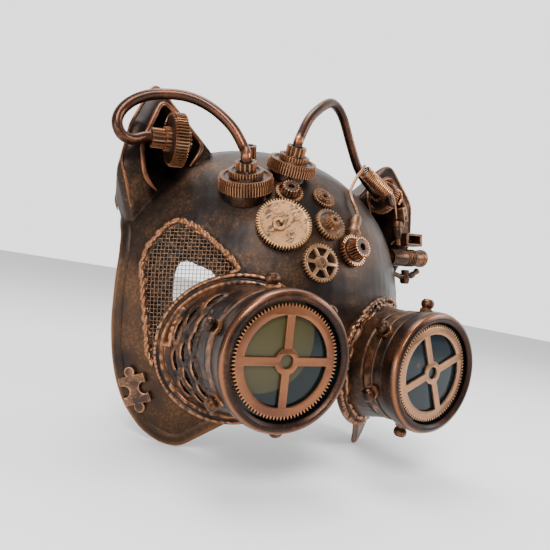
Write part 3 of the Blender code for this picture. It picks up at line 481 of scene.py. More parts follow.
def ring_of_copies_recipe() -> Recipe:
    """Copies of the input mesh, standing on a ring and pointing away from its axis.

    Returns:
        The recipe, with Count, Radius, Height and Start.
    """
    recipe = Recipe("ring_of_copies")
    count = recipe.size("Count", "NodeSocketInt")
    radius, height, start = recipe.size("Radius"), recipe.size("Height"), recipe.size("Start")
    circle = recipe.node("GeometryNodeMeshCircle", inputs={"Vertices": count, "Radius": radius})
    out = recipe.node("FunctionNodeAlignRotationToVector", {"axis": "Z", "pivot_axis": "AUTO"},
                      {"Vector": recipe.node("GeometryNodeInputPosition").outputs[0]})
    copies = recipe.node("GeometryNodeInstanceOnPoints", inputs={"Points": circle.outputs[0],
                                                                "Instance": recipe.inlet.outputs["Geometry"],
                                                                "Rotation": out.outputs[0]})
    turn = recipe.node("ShaderNodeCombineXYZ", inputs={2: start})
    lift = recipe.node("ShaderNodeCombineXYZ", inputs={2: height})
    placed = recipe.node("GeometryNodeTransform", inputs={"Geometry": copies.outputs[0],
                                                         "Translation": lift.outputs[0],
                                                         "Rotation": turn.outputs[0]})
    recipe.close(placed.outputs[0])
    return recipe


def lumps_recipe() -> Recipe:
    """Small lumps scattered over a surface with a fixed seed, joined to it.

    Returns:
        The recipe, with Density, Size and Seed.
    """
    recipe = Recipe("scattered_lumps")
    density, size = recipe.size("Density"), recipe.size("Size")
    seed = recipe.size("Seed", "NodeSocketInt")
    surface = recipe.inlet.outputs["Geometry"]
    spots = recipe.node("GeometryNodeDistributePointsOnFaces", inputs={"Mesh": surface, "Density": density,
                                                                      "Seed": seed})
    lump = recipe.node("GeometryNodeMeshIcoSphere", inputs={"Radius": size, "Subdivisions": 1})
    spin = recipe.node("FunctionNodeRandomValue", {"data_type": "FLOAT_VECTOR"},
                       {0: (0.0, 0.0, 0.0), 1: (6.3, 6.3, 6.3), "Seed": 3})
    grow = recipe.node("FunctionNodeRandomValue", {"data_type": "FLOAT_VECTOR"},
                       {0: (0.35, 0.35, 0.3), 1: (1.1, 1.5, 0.9), "Seed": 5})
    scattered = recipe.node("GeometryNodeInstanceOnPoints", inputs={"Points": spots.outputs["Points"],
                                                                   "Instance": lump.outputs["Mesh"],
                                                                   "Rotation": spin.outputs[0],
                                                                   "Scale": grow.outputs[0]})
    both = recipe.node("GeometryNodeJoinGeometry")
    for part in (scattered.outputs[0], surface):
        recipe.tree.links.new(part, both.inputs[0])
    recipe.close(both.outputs[0])
    return recipe


# ---------------------------------------------------------------- mesh helpers


def aim(origin: Point, axis: Point, towards: Point = (0, 0, 1)) -> Matrix:
    """Axes for a piece: +Z along axis and +Y as near as it can be to towards.

    Args:
        origin: where the piece stands.
        axis: its own +Z.
        towards: what +Y leans to.

    Returns:
        The matrix that places it.
    """
    z = Vector(axis).normalized()
    x = Vector(towards).cross(z).normalized()
    y = z.cross(x)
    return Matrix.Translation(Vector(origin)) @ Matrix((x, y, z)).transposed().to_4x4()


def in_mm(points: Loop) -> list[tuple[float, ...]]:
    """Points that are given in millimetres, in metres."""
    return [tuple(value * MM for value in point) for point in points]


def seen_from(axes: Matrix, points: Array) -> Array:
    """Positions in a piece's own axes.

    Args:
        axes: the piece's axes in the frame.
        points: positions in the frame, one row each.

    Returns:
        The positions, one row each.
    """
    inverse = np.array(axes.inverted())
    return points @ inverse[:3, :3].T + inverse[:3, 3]


def make_plain(piece: Piece) -> None:
    """Turns a piece's modifiers into plain mesh."""
    seen = bpy.context.evaluated_depsgraph_get()
    piece.data = bpy.data.meshes.new_from_object(piece.evaluated_get(seen), depsgraph=seen)
    piece.modifiers.clear()


def ripple(points: Array, size: float, seed: int = 0) -> Array:
    """Smooth irregular values from -1 to 1 over space.

    Args:
        points: positions, one row each.
        size: the length of a typical wave.
        seed: picks the pattern.

    Returns:
        One value for each point.
    """
    chance = np.random.default_rng(seed)
    total = np.zeros(len(points))
    for octave in range(3):
        for _ in range(4):
            way = chance.normal(size=3)
            way *= 2 * pi / (size * 0.55 ** octave) / np.linalg.norm(way)
            total += 0.6 ** octave * np.sin(points @ way + chance.uniform(0, 6.28))
    return np.clip(total / 3.4, -1, 1)


def smooth_step(value: Array, low: float, high: float) -> Array:
    """Smooth rise from 0 at low to 1 at high."""
    t = np.clip((np.asarray(value, float) - low) / (high - low), 0, 1)
    return t * t * (3 - 2 * t)


def fillet(corners: Loop, radius: float, steps: int = 3, closed: bool = True) -> list[tuple[float, float]]:
    """Rounds the corners of a flat outline.

    Args:
        corners: the outline's corners.
        radius: the rounding, limited by the edges beside it.
        steps: how many edges each rounding has.
        closed: whether the outline closes on itself.

    Returns:
        The rounded outline.
    """
    points = [Vector(c) for c in corners]
    count = len(points)
    rounded: list[tuple[float, float]] = []
    for i, here in enumerate(points):
        if not closed and i in (0, count - 1):
            rounded.append(tuple(here))
            continue
        back, ahead = points[i - 1] - here, points[(i + 1) % count] - here
        turn = pi - back.angle(ahead, pi)
        if turn < radians(12):
            rounded.append(tuple(here))
            continue
        reach = min(radius * sin(turn / 2) / max(0.05, cos(turn / 2)), back.length * 0.45, ahead.length * 0.45)
        start, end = here + back.normalized() * reach, here + ahead.normalized() * reach
        for k in range(steps + 1):
            t = k / steps
            rounded.append(tuple((1 - t) ** 2 * start + 2 * t * (1 - t) * here + t * t * end))
    return rounded


def smooth_route(points: Loop, step: float) -> list[Vector]:
    """Points about one step apart on a smooth curve through a route given in millimetres.

    Args:
        points: the route's own points.
        step: spacing in metres.

    Returns:
        The curve's points in metres.
    """
    knots = [Vector(p) * MM for p in points]
    knots = [2 * knots[0] - knots[1]] + knots + [2 * knots[-1] - knots[-2]]
    route = []
    for a, b, c, d in zip(knots, knots[1:], knots[2:], knots[3:]):
        count = max(1, round((c - b).length / step))
        for i in range(count):
            t = i / count
            route.append(0.5 * (2 * b + (c - a) * t + (2 * a - 5 * b + 4 * c - d) * t * t
                                + (3 * b - a - 3 * c + d) * t ** 3))
    route.append(knots[-2])
    return route


def resample(loop: Array, count: int, closed: bool = True) -> Array:
    """Points evenly spaced along a polyline.

    Args:
        loop: its corners, one row each.
        count: how many points to return.
        closed: whether it closes on itself.

    Returns:
        The evenly spaced points.
    """
    line = np.vstack([loop, loop[:1]]) if closed else np.asarray(loop, float)
    run = np.concatenate([[0], np.cumsum(np.linalg.norm(np.diff(line, axis=0), axis=1))])
    spots = np.linspace(0, run[-1], count, endpoint=not closed)
    return np.stack([np.interp(spots, run, line[:, k]) for k in range(line.shape[1])], axis=1)


class Form:
    """Vertices and faces gathered from several shapes of one piece."""

    def __init__(self) -> None:
        """Starts empty."""
        self.points: list[tuple[float, float, float]] = []
        self.faces: list[tuple[int, ...]] = []
        self.edges: list[tuple[int, int]] = []

    def add(self, points: Sequence[Point], faces: Sequence[Sequence[int]], matrix: Optional[Matrix] = None) -> "Form":
        """Adds one shape.

        Args:
            points: its vertices.
            faces: its faces.
            matrix: where it goes.

        Returns:
            The same form.
        """
        base = len(self.points)
        self.points += [tuple(matrix @ Vector(p)) if matrix else tuple(p) for p in points]
        self.faces += [tuple(base + i for i in face) for face in faces]
        return self

    def lathe(self, corners: Loop, matrix: Optional[Matrix] = None, sides: int = 64, rounding: float = 0.25 * MM,
              ring: bool = False) -> "Form":
        """Adds a turned shape about Z.

        Args:
            corners: (radius, height) corners; a ring's profile closes on itself.
            matrix: where it goes.
            sides: steps round the axis.
            rounding: the corners' radius.
            ring: whether the profile is a closed ring.

        Returns:
            The same form.
        """
        profile = fillet(corners, rounding, 3, ring)
        points: list[tuple[float, float, float]] = []
        rings: list[list[int]] = []
        for radius, height in profile:
            if radius < 1e-6:
                rings.append([len(points)] * sides)
                points.append((0, 0, height))
                continue
            rings.append(list(range(len(points), len(points) + sides)))
            points += [(radius * cos(2 * pi * i / sides), radius * sin(2 * pi * i / sides), height)
                       for i in range(sides)]
        pairs = list(zip(rings, rings[1:])) + ([(rings[-1], rings[0])] if ring else [])
        faces = []
        for a, b in pairs:
            for i in range(sides):
                j = (i + 1) % sides
                face = [a[i], a[j], b[j], b[i]]
                faces.append(tuple(dict.fromkeys(face)))
        return self.add(points, [f for f in faces if len(f) > 2], matrix)

    def bar(self, path: Sequence[Vector], radii: Union[float, Sequence[float]], sides: int = 16,
            cap: bool = True) -> "Form":
        """Adds a round bar along a path.

        Args:
            path: its centre line.
            radii: one radius, or one for each point.
            sides: steps round the bar.
            cap: whether its ends are closed with a small rounding.

        Returns:
            The same form.
        """
        spots = [Vector(p) for p in path]
        sizes = [radii] * len(spots) if isinstance(radii, (int, float)) else list(radii)
        if cap:
            ends = ((spots[0], spots[1], sizes[0]), (spots[-1], spots[-2], sizes[-1]))
            necks = [spot + (ahead - spot).normalized() * size * 0.3 for spot, ahead, size in ends]
            spots = [spots[0], necks[0], *spots[1:-1], necks[1], spots[-1]]
            sizes = [sizes[0] * 0.7, sizes[0], *sizes[1:-1], sizes[-1], sizes[-1] * 0.7]
        side = Vector((0, 0, 1)).cross(spots[1] - spots[0])
        side = side.normalized() if side.length > 1e-9 else Vector((1, 0, 0))
        points, faces = [], []
        for k, (spot, size) in enumerate(zip(spots, sizes)):
            along = (spots[min(k + 1, len(spots) - 1)] - spots[max(k - 1, 0)]).normalized()
            side = (side - along * side.dot(along)).normalized()
            up = along.cross(side)
            points += [spot + (side * cos(2 * pi * i / sides) + up * sin(2 * pi * i / sides)) * size
                       for i in range(sides)]
            if k:
                base = (k - 1) * sides
                faces += [(base + i, base + (i + 1) % sides, base + sides + (i + 1) % sides, base + sides + i)
                          for i in range(sides)]
        faces.append(tuple(range(sides)))
        faces.append(tuple(range(len(points) - sides, len(points))))
        return self.add(points, faces)

    def band(self, centres: Array, outward: Array, normals: Array,
             section: Callable[[int], Loop], closed: bool = True) -> "Form":
        """Adds a moulding along a line on a surface.

        Args:
            centres: the line's points.
            outward: unit vectors away from the line, along the surface.
            normals: unit vectors off the surface.
            section: gives the (outward, off the surface) outline at a point's number.
            closed: whether the line closes on itself.

        Returns:
            The same form.
        """
        points, faces, count = [], [], len(centres)
        size = len(section(0))
        for k in range(count):
            points += [tuple(centres[k] + outward[k] * a + normals[k] * b) for a, b in section(k)]
        for k in range(count if closed else count - 1):
            here, there = k * size, (k + 1) % count * size
            faces += [(here + i, here + (i + 1) % size, there + (i + 1) % size, there + i) for i in range(size)]
        if not closed:
            faces += [tuple(range(size)), tuple(range((count - 1) * size, count * size))]
        return self.add(points, faces)

    def box(self, size: Point, matrix: Matrix, rounding: float = 0.4 * MM) -> "Form":
        """Adds a block with rounded edges.

        Args:
            size: its sides.
            matrix: where its centre goes.
            rounding: the edges' radius.

        Returns:
            The same form.
        """
        shape = bmesh.new()
        bmesh.ops.create_cube(shape, size=1.0, matrix=Matrix.Diagonal((*size, 1)))
        bmesh.ops.bevel(shape, geom=list(shape.edges), offset=rounding, segments=3, affect="EDGES", profile=0.5)
        bmesh.ops.recalc_face_normals(shape, faces=shape.faces)
        shape.verts.index_update()
        self.add([v.co.copy() for v in shape.verts], [[v.index for v in f.verts] for f in shape.faces], matrix)
        shape.free()
        return self

    def plate(self, outlines: Sequence[Loop], low: float, high: float, matrix: Optional[Matrix] = None,
              bevel: float = 0.15 * MM) -> "Form":
        """Adds a flat plate with bevelled edges. Later outlines are holes.

        Args:
            outlines: closed outlines in the plate's plane.
            low: height of its back.
            high: height of its front.
            matrix: where it goes.
            bevel: width of the edges' bevel.

        Returns:
            The same form.
        """
        curve = bpy.data.curves.new("outline", "CURVE")
        curve.dimensions, curve.fill_mode = "2D", "BOTH"
        curve.extrude, curve.bevel_depth, curve.bevel_resolution = (high - low) / 2 - bevel, bevel, 1
        curve.offset = -bevel
        for outline in outlines:
            line = curve.splines.new("POLY")
            line.points.add(len(outline) - 1)
            for knot, spot in zip(line.points, outline):
                knot.co = (spot[0], spot[1], 0, 1)
            line.use_cyclic_u = True
        holder = bpy.data.objects.new("outline", curve)
        bpy.context.scene.collection.objects.link(holder)
        seen = bpy.context.evaluated_depsgraph_get()
        mesh = bpy.data.meshes.new_from_object(holder.evaluated_get(seen), depsgraph=seen)
        lift = Matrix.Translation((0, 0, (low + high) / 2))
        self.add([lift @ v.co for v in mesh.vertices], [list(p.vertices) for p in mesh.polygons], matrix)
        bpy.data.objects.remove(holder)
        bpy.data.curves.remove(curve)
        bpy.data.meshes.remove(mesh)
        return self

    def line(self, path: Sequence[Point], closed: bool = False) -> "Form":
        """Adds a bare line, for a recipe that turns edges into bars."""
        base, count = len(self.points), len(path)
        self.points += [tuple(p) for p in path]
        self.edges += [(base + i, base + (i + 1) % count) for i in range(count if closed else count - 1)]
        return self

    def piece(self, name: str, finish: Optional[Finish] = None, weld: bool = True,
              angle: float = 32.0) -> Piece:
        """Makes the object.

        Args:
            name: the piece's name.
            finish: its finish.
            weld: whether doubles are merged and the normals made to face out.
            angle: edges sharper than this many degrees stay crisp.

        Returns:
            The piece, at the origin, unturned and unscaled.
        """
        mesh = bpy.data.meshes.new(name)
        mesh.from_pydata(self.points, self.edges, self.faces)
        if weld and self.faces:
            shape = bmesh.new()
            shape.from_mesh(mesh)
            bmesh.ops.remove_doubles(shape, verts=shape.verts, dist=1e-6)
            bmesh.ops.recalc_face_normals(shape, faces=shape.faces)
            shape.to_mesh(mesh)
            shape.free()
        if self.faces:
            mesh.shade_smooth()
            mesh.set_sharp_from_angle(angle=radians(angle))
        item = bpy.data.objects.new(name, mesh)
        bpy.context.scene.collection.objects.link(item)
        if finish:
            mesh.materials.append(finish.material())
        return item


def vertex_array(mesh: bpy.types.Mesh) -> Array:
    """The mesh's vertices, one row each."""
    flat = np.empty(len(mesh.vertices) * 3, np.float32)
    mesh.vertices.foreach_get("co", flat)
    return flat.reshape(-1, 3).astype(float)


def store(mesh: bpy.types.Mesh, name: str, values: Array) -> None:
    """Keeps one number for each vertex.

    Args:
        mesh: the mesh.
        name: the attribute's name.
        values: the numbers.
    """
    layer = mesh.attributes.get(name) or mesh.attributes.new(name, "FLOAT", "POINT")
    layer.data.foreach_set("value", np.asarray(values, np.float32))


def edge_bends(mesh: bpy.types.Mesh) -> tuple[Array, Array]:
    """The sharpest outward and inward bend, in radians, at each vertex.

    Args:
        mesh: a closed mesh with its faces pointing out.

    Returns:
        The outward bends and the inward bends.
    """
    shape = bmesh.new()
    shape.from_mesh(mesh)
    out, inward = np.zeros(len(shape.verts)), np.zeros(len(shape.verts))
    for edge in shape.edges:
        if len(edge.link_faces) != 2:
            continue
        bend = edge.calc_face_angle_signed(0.0)
        table = out if bend > 0 else inward
        for vert in edge.verts:
            table[vert.index] = max(table[vert.index], abs(bend))
    shape.free()
    return out, inward


def mark_wear_and_shade(piece: Piece, shade_below: float = 0.0,
            extra: Optional[Callable[[Array], tuple[Array, Array]]] = None) -> Piece:
    """Marks worn edges, and corners darkened with grime and painted shade, from the mesh's own bends.

    Args:
        piece: the piece.
        shade_below: how much painted shade darkens its undersides.
        extra: gives more wear, and more grime and painted shade, from the positions.

    Returns:
        The same piece.
    """
    mesh = piece.data
    out, inward = edge_bends(mesh)
    # Outward bends get wear; inward bends get grime and painted shade.
    wear, soot_and_shade = smooth_step(out, radians(17), radians(30)), smooth_step(inward, radians(17), radians(50))
    points = vertex_array(mesh)
    # Painted shade: the undersides are darkened as though in shadow.
    if shade_below:
        normals = np.empty(len(mesh.vertices) * 3, np.float32)
        mesh.vertices.foreach_get("normal", normals)
        soot_and_shade = np.maximum(soot_and_shade, smooth_step(-normals.reshape(-1, 3)[:, 2], 0.1, 0.9) * shade_below)
    if extra:
        more_wear, more_soot_and_shade = extra(points)
        wear, soot_and_shade = np.clip(wear + more_wear, 0, 1), np.clip(np.maximum(soot_and_shade, more_soot_and_shade), 0, 1)
    store(mesh, "wear", wear)
    store(mesh, "soot_and_shade", soot_and_shade)
    return piece


def neighbour_mean(values: Array, edges: Array, count: int) -> Array:
    """The mean over each vertex's neighbours.

    Args:
        values: one row for each vertex.
        edges: pairs of vertex numbers.
        count: how many vertices there are.

    Returns:
        The means, one row each.
    """
    both = np.vstack([edges, edges[:, ::-1]])
    degree = np.maximum(np.bincount(both[:, 0], minlength=count), 1)
    columns = values if values.ndim > 1 else values[:, None]
    total = np.stack([np.bincount(both[:, 0], weights=columns[both[:, 1], k], minlength=count)
                      for k in range(columns.shape[1])], axis=1) / degree[:, None]
    return total if values.ndim > 1 else total[:, 0]


def mark_wear_and_shade_dense(piece: Piece, ring_steps: int = 3, low: float = 0.02, high: float = 0.11,
                  extra_shade: Optional[Array] = None) -> Piece:
    """Marks wear, and grime with painted shade in the hollows, on an evenly dense mesh from its curvature.

    Args:
        piece: the piece.
        ring_steps: how far the curvature is averaged.
        low: bend per edge length where wear begins.
        high: bend per edge length where it is full.
        extra_shade: more painted shade for each vertex.

    Returns:
        The same piece.
    """
    mesh = piece.data
    points, count = vertex_array(mesh), len(mesh.vertices)
    edges = np.empty(len(mesh.edges) * 2, np.int32)
    mesh.edges.foreach_get("vertices", edges)
    edges = edges.reshape(-1, 2)
    normals = np.empty(count * 3, np.float32)
    mesh.vertices.foreach_get("normal", normals)
    normals = normals.reshape(-1, 3)
    size = np.linalg.norm(points[edges[:, 0]] - points[edges[:, 1]], axis=1).mean()
    bend = -((neighbour_mean(points, edges, count) - points) * normals).sum(1) / size
    for _ in range(ring_steps):
        bend = 0.4 * bend + 0.6 * neighbour_mean(bend, edges, count)
    # Hollows get grime and painted shade.
    soot_and_shade = smooth_step(-bend, low, high)
    if extra_shade is not None:
        soot_and_shade = np.maximum(soot_and_shade, extra_shade)
    store(mesh, "wear", smooth_step(bend, low, high))
    store(mesh, "soot_and_shade", soot_and_shade)
    return piece


def settle(piece: Piece, body: str, slot: str, *nodes: str) -> Piece:
    """Makes a finished piece ride on its body and stand for its nodes, and reports it.

    Args:
        piece: the finished piece.
        body: the body that it rides on.
        slot: the record's material slot; not used.
        nodes: the model's nodes that it stands for.

    Returns:
        The same piece.
    """
    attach(piece, body)
    if nodes:
        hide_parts(*nodes)
    LOG.info("%s: %d faces on %s", piece.name, len(piece.data.polygons), body)
    return piece


# ---------------------------------------------------------------- face shell


@dataclass(frozen=True)
class ShellForm:
    """The mask's outer surface: a part ellipsoid that swells towards the back of the temples."""

    half_width: float = 88 * MM
    depth: float = 86 * MM
    rise: float = 92 * MM
    drop: float = 170 * MM
    centre_y: float = 70 * MM
    centre_z: float = 20 * MM
    swell: float = 18 * MM
    swell_start: float = 5 * MM
    swell_run: float = 50 * MM
    wall: float = 2.4 * MM
    crown_share: float = 0.12

    def point(self, theta: Array, phi: Array) -> Array:
        """Surface points.

        Args:
            theta: turn round from the nose, in radians.
            phi: turn up from eye level, in radians.

        Returns:
            The points, one row each.
        """
        theta, phi = np.asarray(theta, float), np.asarray(phi, float)
        z = self.centre_z + np.where(phi > 0, self.rise, self.drop) * np.sin(phi)
        y = self.centre_y - self.depth * np.cos(phi) * np.cos(theta)
        run = smooth_step(y, self.swell_start, self.swell_start + self.swell_run)
        x = (self.half_width * np.sin(theta) + self.swell * run * np.sin(theta) * np.abs(np.sin(theta))) * np.cos(phi)
        return np.stack([x, y, z], axis=-1)

    def slopes(self, theta: Array, phi: Array) -> tuple[Array, Array]:
        """Surface directions round and up.

        Args:
            theta: turn round.
            phi: turn up.

        Returns:
            The change of the point with each.
        """
        e = 1e-4
        across = (self.point(theta + e, phi) - self.point(theta - e, phi)) / (2 * e)
        up = (self.point(theta, phi + e) - self.point(theta, phi - e)) / (2 * e)
        return across, up

    def normal(self, theta: Array, phi: Array) -> Array:
        """Outward unit vectors."""
        across, up = self.slopes(theta, phi)
        out = np.cross(across, up)
        return out / np.linalg.norm(out, axis=-1, keepdims=True)

    def project(self, points: Array) -> tuple[Array, Array, Array]:
        """Nearest surface directions.

        Args:
            points: positions, one row each.

        Returns:
            Theta, phi and the distance outside the surface.
        """
        lift = points[:, 2] - self.centre_z
        phi = np.arcsin(np.clip(lift / np.where(lift > 0, self.rise, self.drop), -0.98, 0.98))
        theta = np.arctan2(points[:, 0] / self.half_width, (self.centre_y - points[:, 1]) / self.depth)
        for _ in range(7):
            gap = points - self.point(theta, phi)
            across, up = self.slopes(theta, phi)
            aa, uu, au = (across * across).sum(1), (up * up).sum(1), (across * up).sum(1)
            ga, gu = (gap * across).sum(1), (gap * up).sum(1)
            size = np.maximum(aa * uu - au * au, 1e-14)
            theta = theta + np.clip((ga * uu - gu * au) / size, -0.3, 0.3)
            phi = np.clip(phi + np.clip((gu * aa - ga * au) / size, -0.3, 0.3), -1.5, 1.52)
        turn, flat = theta, np.ones(len(points))
        for _ in range(6):
            x = points[:, 0] / (self.half_width + self.swell * np.abs(np.sin(turn)))
            y = (self.centre_y - points[:, 1]) / self.depth
            turn, flat = np.arctan2(x, y), np.hypot(x, y)
        crown = (lift > 0.9 * self.rise) & (flat < self.crown_share)
        theta = np.where(crown, turn, theta)
        phi = np.where(crown, np.arccos(np.clip(flat, 1e-3, 1.0)), phi)
        gap = points - self.point(theta, phi)
        return theta, phi, (gap * self.normal(theta, phi)).sum(1)

    def place(self, theta_deg: float, phi_deg: float, lift: float = 0.0) -> Vector:
        """One point in a direction given in degrees, lifted off the surface."""
        theta, phi = radians(theta_deg), radians(phi_deg)
        return Vector(self.point(theta, phi) + self.normal(theta, phi) * lift)

    def seat(self, theta_deg: float, phi_deg: float, axis: Optional[Point] = None, lift: float = 0.0,
             towards: Point = (0, 0, 1)) -> Matrix:
        """Axes that stand on the surface.

        Args:
            theta_deg: turn round, in degrees.
            phi_deg: turn up, in degrees.
            axis: the seat's own +Z, or None for the surface's.
            lift: height off the surface.
            towards: what the seat's +Y leans to.

        Returns:
            The seat's matrix.
        """
        out = self.normal(radians(theta_deg), radians(phi_deg))
        return aim(self.place(theta_deg, phi_deg, lift), axis or out, towards)

    def drape(self, points: Array, lift: Union[float, Array]) -> Array:
        """Moves points onto the surface, lifted by a height."""
        theta, phi, _ = self.project(points)
        return self.point(theta, phi) + self.normal(theta, phi) * np.reshape(lift, (-1, 1))


FORM = ShellForm()


def keep_in_wall(piece: Piece, deepest: float = 1.4 * MM) -> Piece:
    """Ends a glued-on piece's foot inside the shell's wall.

    Args:
        piece: the piece, in its place.
        deepest: how far the foot may go below the shell's outer face.

    Returns:
        The same piece.
    """
    points = vertex_array(piece.data)
    theta, phi, off = FORM.project(points)
    points = points + FORM.normal(theta, phi) * np.clip(-deepest - off, 0, 12 * MM)[:, None]
    piece.data.vertices.foreach_set("co", points.astype(np.float32).ravel())
    piece.data.update()
    return piece


@dataclass
class FaceShell:
    """The domed shell with its two scooped ears."""

    node: Piece
    voxel: float = 1.2 * MM
    ear_front: tuple[tuple[float, float], ...] = ((86, 121), (94, 98), (94, 80), (86, 59), (70, 78), (60, 94),
                                                  (74, 111))
    soft_steps: int = 8
    rim_steps: int = 26
    rim_roll: float = 0.5 * MM
    ridge_r: float = 1.5 * MM
    ear_root: tuple[float, float, float] = (-97, 59, 54)

    def build(self) -> None:
        """Builds the smooth shell."""
        self.skin = piece = self._even_skin()
        mesh = piece.data
        points, count = vertex_array(mesh), len(mesh.vertices)
        edges = np.empty(len(mesh.edges) * 2, np.int32)
        mesh.edges.foreach_get("vertices", edges)
        edges = edges.reshape(-1, 2)
        _, _, off = FORM.project(points)
        free = smooth_step(np.abs(off + FORM.wall / 2), FORM.wall / 2 + 0.25 * MM, FORM.wall / 2 + 1.0 * MM)[:, None]
        for _ in range(self.soft_steps):
            points = points + (neighbour_mean(points, edges, count) - points) * 0.55 * free
            points = points - (neighbour_mean(points, edges, count) - points) * 0.50 * free
        theta, phi, off = FORM.project(points)
        out = FORM.normal(theta, phi)
        gap = self._rim_gap(points, off)
        plain = smooth_step(gap, 1.6 * MM, 3.2 * MM)
        held = (1 - smooth_step(np.abs(off), 0.45 * MM, 0.95 * MM)) * plain
        points = points - out * (off * held)[:, None]
        inner = (1 - smooth_step(np.abs(off + FORM.wall), 0.45 * MM, 0.95 * MM)) * plain
        points = points - out * ((off + FORM.wall) * inner)[:, None]
        rim = (1 - smooth_step(gap, 2.4 * MM, 5.0 * MM))[:, None]
        for _ in range(self.rim_steps):
            points = points + (neighbour_mean(points, edges, count) - points) * 0.60 * rim
            points = points - (neighbour_mean(points, edges, count) - points) * 0.62 * rim
        lift = self.rim_roll * np.cos(np.minimum(1.0, gap / (5 * MM)) * pi / 2) ** 2 * (off > -0.8 * MM)
        points = points + out * (lift + self._dents(points, off))[:, None]
        mesh.vertices.foreach_set("co", points.astype(np.float32).ravel())
        mesh.update()
        mesh.shade_smooth()
        # Painted shadow deep inside the ears' scoops.
        soot_and_shade = self._ear_shadow(points, off)
        mark_wear_and_shade_dense(piece, 3, 0.035, 0.17, soot_and_shade)
        store(mesh, "inner", smooth_step(-off, 0.8 * MM, 2.0 * MM))
        mesh.materials.clear()
        mesh.materials.append(SHELL.material())
        self.build_ridges()
        self.build_rim()
        settle(piece, "mask", "shell", "mask_shell")

    def _sharp_lines(self, low: float, high: float) -> list[Array]:
        """The model's sharp outward edges whose distance off the plain surface is between two values.

        Args:
            low: the smallest distance.
            high: the largest.

        Returns:
            The lines' points.
        """
        shape = bmesh.new()
        shape.from_mesh(self.node.data)
        bmesh.ops.remove_doubles(shape, verts=shape.verts, dist=1e-6)
        spots = np.array([tuple(v.co) for v in shape.verts])
        _, _, off = FORM.project(spots)
        beside: dict[int, list[int]] = {}
        for edge in shape.edges:
            a, b = edge.verts[0].index, edge.verts[1].index
            if min(off[a], off[b]) > low and max(off[a], off[b]) < high:
                if edge.calc_face_angle_signed(0.0) > radians(34):
                    beside.setdefault(a, []).append(b)
                    beside.setdefault(b, []).append(a)
        shape.free()
        return [spots[chain] for chain in self._chains(beside)]

    def build_ridges(self) -> None:
        """Builds the rubbed copper ridges along the ears' outer edges."""
        form = Form()
        lines = self._sharp_lines(0.2 * MM, 1.0)
        scoops = [line for line in lines if len(line) > 20]
        for line in scoops + self._joined([line for line in lines if len(line) <= 20], 2 * MM):
            length = np.linalg.norm(np.diff(line, axis=0), axis=1).sum()
            if length < 14 * MM:
                continue
            radius = self.ridge_r if any(line is scoop for scoop in scoops) else self.ridge_r * 0.5
            line = resample(line, max(12, int(length / (1.2 * MM))), False)
            for _ in range(10):
                line[1:-1] = 0.5 * line[1:-1] + 0.25 * (line[2:] + line[:-2])
            swell = 1 + 0.10 * ripple(line, 14 * MM, 71)
            steps = np.arange(len(line))
            taper = np.minimum(1, 0.4 + np.minimum(steps, steps[::-1]) / 9)
            form.bar([Vector(p) for p in line], list(radius * swell * taper), 24)
        piece = form.piece("ear_ridges", RIDGE, weld=False, angle=80)
        # The second number is painted shade on the undersides.
        settle(mark_wear_and_shade(piece, 0.5), "mask", "shell")

    def build_rim(self) -> None:
        """Builds the thin rolled edge that wraps the shell's trimmed rim."""
        lines = [line for line in self._sharp_lines(-0.5 * MM, 0.5 * MM)
                 if np.linalg.norm(line[0] - line[-1]) > 1 * MM
                 and (line[:, 2].min() < -50 * MM or line[:, 1].max() > 70 * MM)]
        form, marks = Form(), []
        for line in self._joined(lines):
            length = np.linalg.norm(np.diff(line, axis=0), axis=1).sum()
            if length < 60 * MM:
                continue
            line = self._carried_on(line)
            line = resample(line, int(length / (1.3 * MM)), False)
            for _ in range(8):
                line[1:-1] = 0.5 * line[1:-1] + 0.25 * (line[2:] + line[:-2])
            theta, phi, _ = FORM.project(line)
            base, out = FORM.point(theta, phi), FORM.normal(theta, phi)
            away = np.cross(np.gradient(base, axis=0), out)
            away /= np.linalg.norm(away, axis=1, keepdims=True)
            away *= np.sign((away * (0, 1, -1)).sum())
            wave = 1 + 0.12 * ripple(base, 12 * MM, 72)
            inward = 1 + 0.38 * np.exp(-(base[:, 0] / (11 * MM)) ** 2) * (base[:, 2] > 100 * MM)
            near_end = np.minimum(1, np.minimum(np.arange(len(base)), np.arange(len(base))[::-1]) / 8)

            def section(k: int) -> Loop:
                """The rolled edge's outline at one point."""
                t, wide = near_end[k], inward[k]
                outline = ((0.75, -1.2), (0.6, -0.3), (0.1, 0.35), (-0.8, 0.75 * wave[k]), (-1.9, 0.5), (-3.2, 0.22),
                           (-6.0, 0.08), (-6.2, -0.5), (-6.2, -1.9), (-6.0, -2.5), (-3.2, -2.65), (-1.5, -2.9),
                           (0.1, -2.75), (0.6, -2.1))
                return [(x * MM * (0.3 + 0.7 * t) * (wide if x < 0 else 1),
                         (-1.2 + (y + 1.2) * (0.4 + 0.6 * t)) * MM) for x, y in outline]

            form.band(base, away, out, section, False)
            marks += [0.7, 0.6, 0.5, 0.6, 0.25, 0, 0, 0, 0, 0, 0, 0.2, 0.3, 0.6] * len(base)
        piece = form.piece("shell_rim", SHELL, weld=False, angle=80)
        store(piece.data, "wear", np.array(marks))
        store(piece.data, "inner", smooth_step(-FORM.project(vertex_array(piece.data))[2], 1.6 * MM, 2.4 * MM))
        settle(piece, "mask", "shell")

    def _carried_on(self, line: Array) -> Array:
        """Carries a rim line straight over the dip at the crown, and on to the -X ear's root where it ends short.

        Args:
            line: the rim line.

        Returns:
            The longer line.
        """
        line = line[(np.abs(line[:, 0]) > 10 * MM) | (line[:, 2] < 100 * MM)]
        root = np.array([self.ear_root]) * MM
        if np.linalg.norm(line[0] - root[0]) < 20 * MM:
            line = np.vstack([root, line])
        elif np.linalg.norm(line[-1] - root[0]) < 20 * MM:
            line = np.vstack([line, root])
        return line

